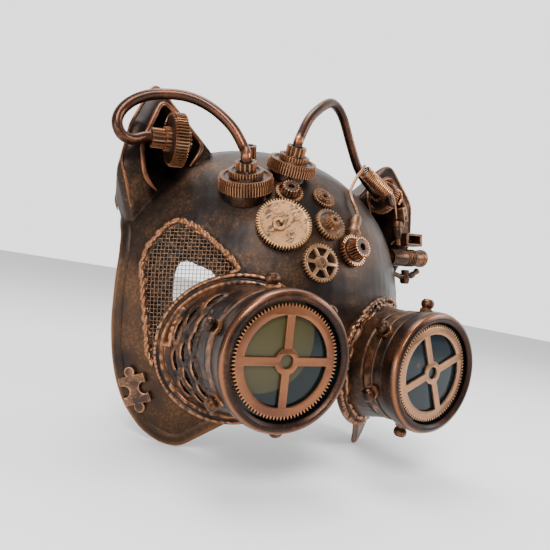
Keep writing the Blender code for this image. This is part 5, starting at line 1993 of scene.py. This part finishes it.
    def build_scratched(self) -> None:
        """Builds the large flat gear with its off-centre hub, drum and four boss rings."""
        form = Form().lathe(in_mm((
            (0, -4), (11.6, -4), (11.6, 1.2), (13.3, 1.2), (13.3, 3.3), (12.6, 3.6), (11.9, 3.45), (11.6, 3.2),
            (0, 3.2))), None, 120, 0.12 * MM)
        hub = Matrix.Translation((-2.6 * MM, -1.4 * MM, 0))
        form.lathe(in_mm(((0, 3.0), (3.7, 3.0), (3.7, 4.3), (3.2, 4.7), (1.9, 4.7), (1.9, 3.3),
                          (0, 3.3))), hub, 48, 0.12 * MM)
        form.lathe(in_mm(((0, 3.0), (1.25, 3.0), (1.25, 5.9), (1.0, 6.2), (0, 6.2))),
                   Matrix.Translation((-1.6 * MM, -0.2 * MM, 0)), 20, 0.12 * MM)
        for k in range(4):
            angle = radians(35 + 90 * k)
            boss = Matrix.Translation((7.6 * MM * cos(angle), 7.6 * MM * sin(angle), 0))
            form.lathe(in_mm(((0, 3.1), (1.9, 3.1), (1.9, 3.6), (1.6, 3.7), (1.1, 3.7),
                              (1.0, 3.3), (0, 3.3))), boss, 28, 0.08 * MM)
        piece = form.piece("scratched_gear_wheel", BEIGE)
        self.teeth.run(piece, BEIGE, Count=58, Root=13.1 * MM, Depth=1.35 * MM, Width=0.85 * MM, Taper=0.6,
                       Thickness=2.3 * MM, Middle=2.4 * MM)
        self.finish_gear(piece, "scratched_gear", FORM.seat(-22.8, 26.2), "gear_beige", 14.4)

    def build_dished(self) -> None:
        """Builds the dished gear with a raised rim and its pinion."""
        form = Form().lathe(in_mm((
            (0, -4), (6.6, -4), (6.6, 0.8), (7.8, 0.8), (7.8, 2.9), (7.3, 3.2), (6.7, 3.1), (5.9, 2.0), (3.2, 1.7),
            (2.3, 1.9), (2.3, 7.0), (1.4, 7.0), (1.2, 6.8), (1.2, 5.2), (0, 5.2))), None, 96, 0.15 * MM)
        piece = form.piece("dished_gear_wheel", MIDDLE)
        self.teeth.run(piece, MIDDLE, Count=30, Root=7.6 * MM, Depth=1.2 * MM, Width=0.9 * MM, Taper=0.5,
                       Thickness=2.0 * MM, Middle=1.9 * MM)
        self.teeth.run(piece, MIDDLE, Count=12, Root=2.3 * MM, Depth=0.7 * MM, Width=0.72 * MM, Taper=0.4,
                       Thickness=4.4 * MM, Middle=4.7 * MM)
        self.finish_gear(piece, "dished_gear", FORM.seat(-4, 29.9), "gear_beige", 8.7)

    def build_spoked(self) -> None:
        """Builds the gear with six windows."""
        root = 9.2
        outlines = [[(root * MM * cos(2 * pi * i / 110), root * MM * sin(2 * pi * i / 110)) for i in range(110)]]
        for i in range(6):
            middle = radians(30 + 60 * i)
            window = [(7.9 * MM * cos(middle + a), 7.9 * MM * sin(middle + a)) for a in np.linspace(-0.42, 0.42, 9)]
            window += [(3.6 * MM * cos(middle + a), 3.6 * MM * sin(middle + a)) for a in np.linspace(0.27, -0.27, 5)]
            outlines.append(fillet(window, 0.5 * MM, 3))
        form = Form().plate(outlines, 0.6 * MM, 2.6 * MM, None, 0.12 * MM)
        form.lathe(in_mm(((0, -3.5), (2.5, -3.5), (2.5, 0.7), (2.9, 0.8), (2.9, 3.1), (2.5, 3.4),
                          (1.2, 3.4), (1.1, 3.0), (0, 3.0))), None, 40, 0.12 * MM)
        piece = form.piece("spoked_gear_wheel", MIDDLE)
        self.teeth.run(piece, MIDDLE, Count=38, Root=(root - 0.1) * MM, Depth=1.0 * MM, Width=0.85 * MM, Taper=0.5,
                       Thickness=1.8 * MM, Middle=1.6 * MM)
        self.finish_gear(piece, "spoked_gear", FORM.seat(-8.3, 15.7), "gear_beige", 10)


# ---------------------------------------------------------------- tubes, spring and wires


@dataclass
class Pipework:
    """The two bent tubes, the coil spring and the stiff wires."""

    tube_r: float = 2.75 * MM
    lead_r: float = 0.95 * MM
    tubes: tuple[tuple[tuple[float, float, float], ...], ...] = (
        ((-51.6, 15.2, 97), (-58, 21, 107.6), (-69, 28, 116), (-81.3, 34, 119), (-95.2, 38, 116.2),
         (-104.2, 39.5, 111), (-109.9, 39.5, 104), (-111.6, 38, 97), (-108.6, 37.5, 91.5), (-102.6, 39.2, 90.8)),
        ((-21.4, 12.5, 111), (-14.5, 16.5, 125), (-1, 24, 138.3), (8.6, 29, 142.1), (18.7, 33, 138.1),
         (30.4, 36.5, 125), (41.2, 38.5, 112.5), (53, 39.5, 104.4)),
    )
    spring_ends: tuple[tuple[float, float, float], ...] = ((39.4, 29, 109.3), (61.2, 29, 99.7))
    spring_turns: int = 17
    lead_route: tuple[tuple[float, float, float], ...] = (
        (37.2, 27.5, 112.6), (33.6, 25, 108.4), (27, 20.8, 101), (20.7, 15.6, 92.4), (17, 8, 85.4), (17, 3, 79.6),
        (16.6, 0.6, 76.2))
    long_route: tuple[tuple[float, float, float], ...] = ((63, 27.6, 100.8), (68, 30.4, 98), (75, 35, 92.6),
                                                          (80.6, 39, 88))
    hook_route: tuple[tuple[float, float, float], ...] = ((84.6, 43.4, 98.6), (86.4, 43.6, 103.4), (84.8, 43.4, 107.6),
                                                          (80.8, 43, 108.4))

    def build(self) -> None:
        """Builds every tube and wire."""
        starts = (FORM.seat(-40, 38.9, (-0.363, -0.387, 0.848), -1 * MM),
                  FORM.seat(-20.8, 50.8, (-0.137, -0.416, 0.899)))
        tops = (15.8, 16.5)
        ears = (aim(Vector((-79.8, 41, 97.3)) * MM, (0.98, -0.05, 0.16)),
                aim(Vector((70.5, 44, 100.5)) * MM, (-0.96, -0.2, 0.16)))
        mouths = ((-13.2 + 2.15, -1), (7 - 2.15, 1))
        for name, route, start, top, ear, (mouth, way) in zip(("left", "right"), self.tubes, starts, tops, ears,
                                                              mouths):
            foot = (top - 2.15) * MM
            knots = [start @ Vector((0, 0, foot)), start @ Vector((0, 0, foot + 5 * MM))]
            knots = [k / MM for k in knots] + [Vector(p) for p in route]
            knots += [ear @ Vector((0, 0, (mouth + way * 4.5) * MM)) / MM, ear @ Vector((0, 0, mouth * MM)) / MM]
            path = smooth_route(knots, 2 * MM)
            swell = ripple(np.array([tuple(p) for p in path]), 40 * MM, 31)
            piece = Form().bar(path, [self.tube_r * (1 + 0.012 * s) for s in swell], 28).piece(f"bent_tube_{name}",
                                                                                               TUBE)
            # The second number is painted shade on the undersides.
            settle(mark_wear_and_shade(piece, 0.55), "mask", "tube_copper", f"tube_{name}")
        self.build_spring()
        for name, route in (("lead_wire", self.lead_route), ("spring_wire_long", self.long_route),
                            ("temple_hook", self.hook_route)):
            piece = Form().bar(smooth_route(route, 1 * MM), self.lead_r, 14).piece(f"{name}_bar", SPRING)
            # The second number is painted shade on the undersides.
            settle(mark_wear_and_shade(piece, 0.5), "mask", "spring_copper", name)

    def build_spring(self) -> None:
        """Builds the closely wound spring, its end turns opened towards the wires."""
        a, b = (Vector(p) * MM for p in self.spring_ends)
        matrix, length = aim(a, b - a), (b - a).length
        steps = self.spring_turns * 24
        path = []
        for i in range(steps + 1):
            angle = 2 * pi * self.spring_turns * i / steps
            path.append(matrix @ Vector((3.7 * MM * cos(angle), 3.7 * MM * sin(angle), length * i / steps)))
        piece = Form().bar(path, 0.56 * MM, 10).piece("coil_spring_helix", SPRING)

        def rub_and_gap_shade(points: Array) -> tuple[Array, Array]:
            """Bright outsides, and painted shade in the gaps between the turns."""
            local = seen_from(matrix, points)
            radius = np.hypot(local[:, 0], local[:, 1]) / MM
            return smooth_step(radius, 3.9, 4.2) * 0.5, 1 - smooth_step(radius, 3.2, 3.7)

        settle(mark_wear_and_shade(piece, 0, rub_and_gap_shade), "mask", "spring_copper", "coil_spring")


@dataclass
class TempleFittings:
    """The ferrule, sleeve, plug, clip, barrel, bracket, knob and lever."""

    def build(self) -> None:
        """Builds every fitting."""
        foot, top = Vector((11.4, -5.2, 65.2)), Vector((16.2, 0.2, 75.5))
        shoe = foot + (foot - top).normalized() * 3.4
        self.turned("wire_ferrule", shoe, top, ((0, 0), (2.3, 0), (2.9, 1.2), (4.1, 3.0), (4.1, 3.8), (3.1, 4.4),
                                                (3.1, 6.0), (2.75, 6.4), (2.75, 8.6), (3.0, 9.0), (3.0, 14.0),
                                                (2.6, 15.2), (1.7, 15.7), (1.5, 15.0), (0, 15.0)))
        self.turned("spring_sleeve", (55.7, 22.3, 97.9), (59.5, 22.3, 91.8),
                    ((0, 0), (2.0, 0), (2.2, 0.3), (2.2, 2.2), (1.9, 2.6), (1.9, 6.4), (1.6, 7.1), (0, 7.1)))
        self.turned("temple_plug", (82.6, 40, 86.6), (84.3, 36.6, 69.5),
                    ((0, 0), (2.6, 0), (3.7, 0.5), (3.9, 1.4), (3.9, 4.4), (3.3, 4.9), (3.3, 5.7), (3.5, 6.2),
                     (3.1, 10.2), (2.6, 12.0), (2.0, 12.5), (2.0, 16.6), (0, 17.4)))
        self.build_clip()
        self.build_barrel()
        self.build_bracket()
        self.build_knob()
        self.turned("temple_lever", (99.6, 36, 51.4), (105.6, 36, 56.2),
                    ((0, -0.6), (1.7, -0.6), (2.2, 0.2), (2.3, 2.6), (1.9, 3.2), (1.9, 6.0), (2.3, 6.5), (2.2, 7.6),
                     (1.4, 8.0), (0, 8.0)))

    @staticmethod
    def turned(name: str, start: Point, end: Point, profile: Loop) -> None:
        """Builds a turned fitting.

        Args:
            name: the node that it stands for.
            start: its foot, in millimetres.
            end: where it points, in millimetres.
            profile: (radius, height) corners in millimetres.
        """
        matrix = aim(Vector(start) * MM, Vector(end) - Vector(start))
        finish = MIDDLE if name in ("wire_ferrule", "temple_lever") else FITTING
        piece = Form().lathe(in_mm(profile), matrix, 48, 0.25 * MM).piece(f"{name}_body", finish)
        # The second number is painted shade on the undersides.
        settle(mark_wear_and_shade(keep_in_wall(piece), 0.35), "mask", "fitting_metal", name)

    @staticmethod
    def build_clip() -> None:
        """Builds the flat clip with its bored screw head."""
        matrix = aim(Vector((88.4, 41.2, 92.6)) * MM, (0.25, -0.9, 0.1), (-0.42, 0, 1))
        outline = fillet(in_mm(((-2.7, -5), (2.7, -5), (2.7, 5), (-2.7, 5))), 1.3 * MM, 4)
        hole = [(0.9 * MM * cos(2 * pi * i / 24), (2.6 + 0.9 * sin(2 * pi * i / 24)) * MM) for i in range(24)]
        form = Form().plate([outline, hole], -2.5 * MM, 2.2 * MM, matrix, 0.4 * MM)
        form.lathe(in_mm(((0, 2.0), (1.5, 2.0), (1.5, 2.7), (0.9, 2.9), (0, 2.9))),
                   matrix @ Matrix.Translation((0, -2.4 * MM, 0)), 24, 0.15 * MM)
        piece = form.piece("temple_clip", JIGSAW)
        # The second number is painted shade on the undersides.
        settle(mark_wear_and_shade(piece, 0.3), "mask", "trim_copper", "temple_block")

    @staticmethod
    def build_barrel() -> None:
        """Builds the ribbed hollow barrel."""
        start, end = Vector((70, 35.4, 60)) * MM, Vector((107.4, 35.4, 65.2)) * MM
        length = (end - start).length / MM
        corners = [(0, 8), (5.4, 8), (5.8, 15), (5.8, 20)]
        for k in range(5):
            low = 20.5 + k * 1.5
            corners += [(5.4, low), (5.4, low + 0.3), (6.05, low + 0.55), (6.05, low + 1.1)]
        corners += [(5.6, 28.4), (5.6, 33.8), (6.1, 34.3), (6.1, length - 0.5), (5.7, length), (4.7, length),
                    (4.6, length - 0.4), (4.6, length - 7.2), (0, length - 7.2)]
        form = Form().lathe(in_mm(corners), aim(start, end - start), 64, 0.2 * MM)
        piece = form.piece("temple_barrel", FITTING)
        # The second number is painted shade on the undersides.
        settle(mark_wear_and_shade(keep_in_wall(piece), 0.35), "mask", "fitting_metal", "temple_cylinder")

    @staticmethod
    def build_bracket() -> None:
        """Builds the open box bracket with rounded lips and two rivets."""
        matrix = aim(Vector((95.2, 37.6, 76)) * MM, (0.05, -1, 0.1), (-0.12, 0, 1))
        form = Form()
        walls = (((15.6, 8.6, 1.9), (0, 0, -3.5)), ((2.0, 8.6, 9.0), (-6.8, 0, 0)), ((2.0, 8.6, 9.0), (6.8, 0, 0)),
                 ((15.6, 1.6, 9.0), (0, 3.5, 0)), ((15.6, 1.6, 9.0), (0, -3.5, 0)))
        for size, place in walls:
            form.box([s * MM for s in size], matrix @ Matrix.Translation([p * MM for p in place]), 0.5 * MM)
        for x in (-3.4, 3.4):
            head = matrix @ Matrix.Translation((x * MM, 0, -2.6 * MM))
            form.lathe(in_mm(((0, 0), (1.3, 0), (1.2, 0.7), (0.6, 1.1), (0, 1.1))), head, 20,
                       0.2 * MM)
        piece = form.piece("temple_open_bracket", FITTING, weld=False)
        # The second number is painted shade on the undersides.
        settle(mark_wear_and_shade(piece, 0.3), "mask", "fitting_metal", "temple_bracket")

    @staticmethod
    def build_knob() -> None:
        """Builds the grooved knob on its cross stem."""
        start, end = Vector((94, 36, 55)) * MM, Vector((95.4, 36, 45.4)) * MM
        form = Form().lathe(in_mm((
            (0, 0), (2.3, 0), (2.8, 0.5), (2.8, 2.2), (2.3, 2.7), (2.4, 3.6), (3.1, 4.3), (3.3, 6.6), (3.1, 8.8),
            (2.3, 9.6), (0, 9.7))), aim(start, end - start), 40, 0.3 * MM)
        stem, tip = Vector((76, 36, 49.66)) * MM, Vector((95, 36, 50)) * MM
        form.lathe(in_mm(((0, 0), (1.8, 0), (1.8, 14), (2.1, 14.3), (2.1, 15.4), (1.8, 15.7),
                          (1.8, 19), (0, 19))), aim(stem, tip - stem), 28, 0.15 * MM)
        piece = form.piece("temple_knob_body", FITTING)
        # The second number is painted shade on the undersides.
        settle(mark_wear_and_shade(keep_in_wall(piece), 0.35), "mask", "fitting_metal", "temple_knob")


# ---------------------------------------------------------------- window and jigsaw plate


@dataclass
class CheekWindow:
    """The rope-edged window: beaded frame, charred recess with an opening, and the woven mesh over it."""

    bars: Recipe
    lumps: Recipe
    outline: tuple[tuple[float, float], ...] = (
        (-58.8, 23.3), (-62, 19.8), (-65.2, 11.8), (-65.5, 5), (-63.2, -2.6), (-61.5, -6.7), (-59.8, -12.2),
        (-56.5, -14.2), (-50, -6), (-44, 2), (-33.8, 9.4), (-36.5, 12), (-44.3, 17), (-52, 21.5))
    hole: tuple[tuple[float, float], ...] = ((-56, 10.5), (-55.5, -3), (-50, -1), (-40.5, 6.5))
    bead: float = 2.6 * MM
    pitch: float = 2.0 * MM

    def build(self, cup_wall: Callable[[Array], Array]) -> None:
        """Builds the window.

        Args:
            cup_wall: gives, for positions, their distance outside the goggle cup's flange.
        """
        self.cup_wall = cup_wall
        self.frame_line = self._loop(self.outline, 260)
        self.build_bead()
        self.build_recess()
        self.build_mesh()

    def _loop(self, corners: Loop, count: int) -> Array:
        """Evenly spaced surface points round an outline given in degrees."""
        flat = fillet(corners, 3.5, 5)
        flat = np.radians(resample(np.array(flat), count * 2))
        line = FORM.point(flat[:, 0], flat[:, 1])
        return resample(line, count)

    def _inset(self, line: Array, distance: float, lift: float) -> Array:
        """The line moved inwards along the surface and off it."""
        theta, phi, _ = FORM.project(line)
        out = FORM.normal(theta, phi)
        along = np.roll(line, -1, axis=0) - np.roll(line, 1, axis=0)
        inward = np.cross(out, along)
        inward /= np.linalg.norm(inward, axis=1, keepdims=True)
        inward *= np.sign((inward * (line.mean(axis=0) - line)).sum(1).mean())
        moved = line + inward * distance
        for _ in range(3):
            moved = 0.5 * moved + 0.25 * (np.roll(moved, 1, axis=0) + np.roll(moved, -1, axis=0))
        return FORM.drape(moved, lift)

    def build_bead(self) -> None:
        """Builds the lumpy rope-like bead, laid in two twisted strands."""
        clear = self.cup_wall(self.frame_line) > 0.6 * MM
        start = int(np.flatnonzero(~clear)[0]) if (~clear).any() else 0
        order = np.roll(np.arange(len(clear)), -start)
        run = self._inset(self.frame_line, self.bead * 0.45, 0.9 * MM)[order]
        run = resample(run[clear[order]], 420, False)
        theta, phi, _ = FORM.project(run)
        out = FORM.normal(theta, phi)
        side = np.cross(out, np.gradient(run, axis=0))
        side /= np.linalg.norm(side, axis=1, keepdims=True)
        turns = np.cumsum(1 + 0.45 * ripple(run, 7 * MM, 43)) * 2 * pi / 30
        lump = 1 + 0.42 * ripple(run, 3.6 * MM, 41)
        form = Form()
        for strand in range(2):
            phase = turns + strand * pi
            line = run + side * (0.62 * MM * np.cos(phase))[:, None] + out * (0.5 * MM * np.sin(phase))[:, None]
            line = line + out * (0.35 * MM * ripple(run, 2.8 * MM, 44 + strand))[:, None]
            form.bar([Vector(p) for p in line], [0.92 * MM * v for v in lump], 10)
        form.bar([Vector(p) for p in run - out * 0.5 * MM], 1.25 * MM, 10)
        piece = form.piece("window_bead_rope", BEAD, weld=False, angle=75)

        def crests(points: Array) -> tuple[Array, Array]:
            """Rubbed crests, and darker low down near the shell, by height."""
            _, _, off = FORM.project(points)
            return smooth_step(off, 1.5 * MM, 2.1 * MM) * 0.7, 1 - smooth_step(off, 0.3 * MM, 1.3 * MM)

        mark_wear_and_shade(piece, 0, crests)
        settle(piece, "mask", "window_bead", "window_frame")

    def build_recess(self) -> None:
        """Builds the charred, bark-like slope from the bead down to the opening."""
        outer = self._inset(self.frame_line, self.bead * 0.55, -0.3 * MM)
        hole = self._loop(self.hole, 260)
        first = int(np.argmin(np.linalg.norm(hole - outer[0], axis=1)))
        hole = np.roll(hole, -first, axis=0)
        if np.linalg.norm(hole[65] - outer[65]) > np.linalg.norm(hole[-65] - outer[65]):
            hole = np.roll(hole[::-1], 1, axis=0)
        rows = 34
        points = []
        for k in range(rows):
            t = k / (rows - 1)
            line = outer * (1 - t) + hole * t
            jag = ripple(line, 5 * MM, 51) * 1.3 * MM * t ** 2
            line = line + (hole.mean(axis=0) - line) * (jag / 0.02)[:, None] * 0.5
            deep = (0.5 - 3.0 * smooth_step(np.array(t), 0.04, 0.34)) * MM
            rough = (ripple(line, 6 * MM, 52) * 0.65 + ripple(line, 2.2 * MM, 53) * 0.5) * MM
            veins = np.abs(ripple(line, 8 * MM, 54)) ** 0.5 * 0.9 * MM
            lift = deep + rough * sin(pi * min(1, t * 1.4 + 0.05)) + (0.55 * MM - veins) * sin(pi * t)
            points.append(FORM.drape(line, lift if t < 0.2 else np.minimum(lift, -0.7 * MM)))
        rim = points[-1]
        points.append(FORM.drape(rim, FORM.project(rim)[2] - 1.3 * MM))
        grid = np.vstack(points)
        count, form = len(outer), Form()
        faces = [(k * count + i, k * count + (i + 1) % count, (k + 1) * count + (i + 1) % count, (k + 1) * count + i)
                 for k in range(len(points) - 1) for i in range(count)]
        keep = self.cup_wall(grid) > -0.5 * MM
        faces = [f for f in faces if all(keep[i] for i in f)]
        form.add(grid, faces)
        piece = form.piece("window_bark", BARK, weld=True, angle=80)
        self.lumps.run(piece, BARK, Density=90000.0, Size=0.5 * MM, Seed=4)

        def burnt(spots: Array) -> tuple[Array, Array]:
            """Copper-tipped ridges over black hollows."""
            _, _, off = FORM.project(spots)
            crest = ripple(spots, 3.4 * MM, 55)
            high = smooth_step(off, -0.9 * MM, 0.9 * MM)
            return smooth_step(crest, 0.1, 0.7) * high * 0.9, smooth_step(-crest, -0.1, 0.5) * (1 - 0.6 * high)

        wear, soot_and_shade = burnt(vertex_array(piece.data))
        store(piece.data, "wear", wear)
        store(piece.data, "soot_and_shade", soot_and_shade)
        settle(piece, "mask", "window_bead")

    def build_mesh(self) -> None:
        """Builds the woven wire cloth at the surface's level."""
        edge = self._inset(self.frame_line, self.bead * 0.5, 0)
        centre = edge.mean(axis=0)
        middle = FORM.project(centre[None, :])
        out = FORM.normal(middle[0], middle[1])[0]
        right = np.cross((0, 0, 1), out)
        right /= np.linalg.norm(right)
        up = np.cross(out, right)
        flat = np.stack([(edge - centre) @ right, (edge - centre) @ up], axis=1)
        form = Form()
        tilt = radians(8)
        axes = ((cos(tilt), sin(tilt)), (-sin(tilt), cos(tilt)))
        for family, (dx, dy) in enumerate(axes):
            nx, ny = -dy, dx
            for k in range(-34, 35):
                line = [(dx * s + nx * k * self.pitch, dy * s + ny * k * self.pitch)
                        for s in np.arange(-60 * MM, 60 * MM, self.pitch / 4)]
                line = np.array(line)
                inside = self._inside(line, flat)
                spots = centre + line[:, :1] * right + line[:, 1:] * up
                wave = np.cos(np.arange(len(line)) * pi / 4) * (1 if k % 2 else -1) * (1 if family else -1)
                onto = FORM.drape(spots, -0.15 * MM + 0.24 * MM * wave)
                inside &= self.cup_wall(onto) > 0
                run: list[Array] = []
                for good, spot in zip(inside, onto):
                    if good:
                        run.append(spot)
                    if (not good or len(run) == len(onto)) and run:
                        if len(run) > 2:
                            form.line(run)
                        run = []
        piece = form.piece("window_cloth")
        store(piece.data, "thick", np.ones(len(piece.data.vertices)))
        self.bars.run(piece, CLOTH, Radius=0.19 * MM, Sides=6)
        settle(mark_wear_and_shade(piece), "mask", "grille_wire", "window_grille")

    @staticmethod
    def _inside(spots: Array, outline: Array) -> Array:
        """Whether flat points lie inside a closed outline."""
        inside = np.zeros(len(spots), bool)
        ahead = np.roll(outline, -1, axis=0)
        for (ax, ay), (bx, by) in zip(outline, ahead):
            crosses = (ay > spots[:, 1]) != (by > spots[:, 1])
            with np.errstate(divide="ignore", invalid="ignore"):
                at = ax + (spots[:, 1] - ay) * (bx - ax) / (by - ay)
            inside ^= crosses & (spots[:, 0] < at)
        return inside


@dataclass
class JigsawPlate:
    """The jigsaw-shaped copper patch on the cheek."""

    size: float = 15 * MM
    knob: float = 2.9 * MM
    thick: float = 1.9 * MM

    def build(self) -> None:
        """Builds the patch, bent to the shell."""
        rim = self._outline()
        form = Form()
        turn, tilt = radians(-62), radians(-18.5)
        out = FORM.normal(turn, tilt)
        seat = aim(FORM.place(-62, -18.5), out, (0, 0.6, 1))
        form.plate([rim], -0.4 * MM, self.thick + 0.3 * MM, None, 0.55 * MM)
        piece = form.piece("jigsaw_patch", JIGSAW)
        shape = bmesh.new()
        shape.from_mesh(piece.data)
        bmesh.ops.triangulate(shape, faces=shape.faces)
        for _ in range(3):
            long_edges = [e for e in shape.edges if e.calc_length() > 1.4 * MM]
            if not long_edges:
                break
            bmesh.ops.subdivide_edges(shape, edges=long_edges, cuts=1)
            bmesh.ops.triangulate(shape, faces=shape.faces)
        shape.to_mesh(piece.data)
        shape.free()
        points = vertex_array(piece.data)
        height = points[:, 2] + ripple(points * (1, 1, 0), 9 * MM, 61) * 0.15 * MM
        flat = np.column_stack([points[:, :2], np.zeros(len(points))])
        turn_m, shift = np.array(seat.to_3x3()), np.array(seat.translation)
        placed = FORM.drape(flat @ turn_m.T + shift, height)
        piece.data.vertices.foreach_set("co", placed.astype(np.float32).ravel())
        piece.data.update()
        piece.data.shade_smooth()
        piece.data.set_sharp_from_angle(angle=radians(32))
        settle(mark_wear_and_shade(piece), "mask", "trim_copper", "puzzle_piece")

    def _outline(self) -> list[tuple[float, float]]:
        """The jigsaw's outline: knobs above and below, blanks at the sides."""
        half, r = self.size / 2, self.knob
        neck, centre = r * 0.62, half + r * 0.6
        points: list[tuple[float, float]] = []
        quarter = [(half, half)]
        bulge = [(r * cos(a), centre + r * sin(a)) for a in np.linspace(radians(-38), radians(218), 22)]
        top = quarter + [(neck + 0.8 * MM, half)] + bulge + [(-neck - 0.8 * MM, half)]
        points += top
        dip = [(-half + r * 0.6 + r * cos(a), r * sin(a)) for a in np.linspace(radians(128), radians(-128), 22)]
        points += [(-half, half), (-half, neck + 0.8 * MM)] + [(x, y) for x, y in dip] + [(-half, -neck - 0.8 * MM)]
        points += [(-x, -y) for x, y in points]
        return fillet(points, 0.8 * MM, 3)


# ---------------------------------------------------------------- studio


@dataclass
class Studio:
    """Plain pale floor, white surroundings, soft lamps and the camera."""

    floor: float = -59.5 * MM

    def build(self) -> None:
        """Builds the floor, the surroundings, the lamps and the camera."""
        self.build_floor()
        self.build_world()
        self.lamp("key", (-0.45, -0.65, 0.70), 0.36, 10.5)
        self.lamp("side", (0.70, -0.50, 0.45), 0.36, 5.5)
        self.lamp("top", (-0.1, 0.10, 0.90), 0.45, 7.0)
        self.lamp("low", (-0.75, -0.30, 0.05), 0.30, 2.2)
        self.camera()

    def build_floor(self) -> None:
        """Builds the floor."""
        mesh = bpy.data.meshes.new("floor")
        size = 3.0
        mesh.from_pydata([(-size, -size, self.floor), (size, -size, self.floor), (size, size, self.floor),
                          (-size, size, self.floor)], [], [(0, 1, 2, 3)])
        floor = bpy.data.objects.new("floor", mesh)
        bpy.context.scene.collection.objects.link(floor)
        material = bpy.data.materials.new("pale_floor")
        material.use_nodes = True
        shader = material.node_tree.nodes["Principled BSDF"]
        shader.inputs["Base Color"].default_value = (0.92, 0.92, 0.92, 1)
        shader.inputs["Roughness"].default_value = 0.9
        mesh.materials.append(material)

    @staticmethod
    def build_world() -> None:
        """Sets the plain white surroundings."""
        world = bpy.data.worlds.new("studio")
        world.use_nodes = True
        tree = world.node_tree
        back = tree.nodes["Background"]
        back.inputs["Color"].default_value = (1, 1, 1, 1)
        place = add_node(tree, "ShaderNodeTexCoord").outputs["Generated"]
        ahead = add_node(tree, "ShaderNodeVectorMath", {"operation": "DOT_PRODUCT"}, {0: place, 1: (0.51, 0.86, 0.0)})
        share = Value(ahead.outputs["Value"]).step(-0.1, 0.6)
        tree.links.new((0.30 + share * 1.75).socket, back.inputs["Strength"])
        bpy.context.scene.world = world

    @staticmethod
    def lamp(name: str, place: Point, size: float, power: float) -> None:
        """Hangs a soft square lamp that points at the mask.

        Args:
            name: the lamp's name.
            place: where it hangs.
            size: its side.
            power: its power in watts.
        """
        light = bpy.data.lights.new(name, "AREA")
        light.shape, light.size, light.energy = "SQUARE", size, power
        item = bpy.data.objects.new(name, light)
        item.location = place
        item.rotation_euler = (Vector((0, 0, 0.04)) - Vector(place)).to_track_quat("-Z", "Y").to_euler()
        bpy.context.scene.collection.objects.link(item)

    @staticmethod
    def camera() -> None:
        """Stands the camera low in front, to the viewer's left."""
        data = bpy.data.cameras.new("camera")
        data.lens, data.sensor_width = 34.08, 36.0
        data.clip_start, data.clip_end = 0.01, 20
        item = bpy.data.objects.new("camera", data)
        right, up, back = Vector((0.8476, -0.5031, 0.1688)), Vector((-0.1498, 0.0784, 0.9856)), Vector(
            (-0.5091, -0.8607, -0.0088))
        turn = Matrix((right, up, back)).transposed()
        item.matrix_world = Matrix.Translation((-0.1651, -0.2289, 0.0331)) @ turn.to_4x4()
        bpy.context.scene.collection.objects.link(item)
        bpy.context.scene.camera = item


# ---------------------------------------------------------------- the whole mask


class CatMask:
    """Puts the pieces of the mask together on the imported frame."""

    def __init__(self) -> None:
        """Makes the shared recipes."""
        self.bars, self.teeth = round_bar_recipe(), toothed_rim_recipe()
        self.copies, self.lumps = ring_of_copies_recipe(), lumps_recipe()

    def build(self) -> None:
        """Builds every piece."""
        FaceShell(bpy.data.objects["mask_shell"]).build()
        goggles = [Goggle(side, self.bars, self.teeth, self.copies) for side in Side]
        for goggle in goggles:
            goggle.build()
        GearTrain(self.teeth).build()
        Pipework().build()
        TempleFittings().build()
        CheekWindow(self.bars, self.lumps).build(goggles[0].outside)
        JigsawPlate().build()
        self.dress_hidden()

    @staticmethod
    def dress_hidden() -> None:
        """Gives the model's own seals and strap plates their finishes."""
        for name in ("lens_gasket_left", "lens_gasket_right"):
            CatMask.dress(name, RUBBER)
        for name in ("strap_anchor_left", "strap_anchor_right"):
            CatMask.dress(name, PLATE)

    @staticmethod
    def dress(name: str, finish: Finish) -> None:
        """Gives one of the model's own pieces a finish."""
        item = bpy.data.objects[name]
        for slot in item.material_slots:
            slot.material = finish.material()
        LOG.info("%s keeps the model's shape", name)


def main() -> None:
    """Builds the looks."""
    logging.basicConfig(level=logging.INFO, format="%(name)s %(message)s")
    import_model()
    CatMask().build()
    Studio().build()


if __name__ == "__main__":
    main()
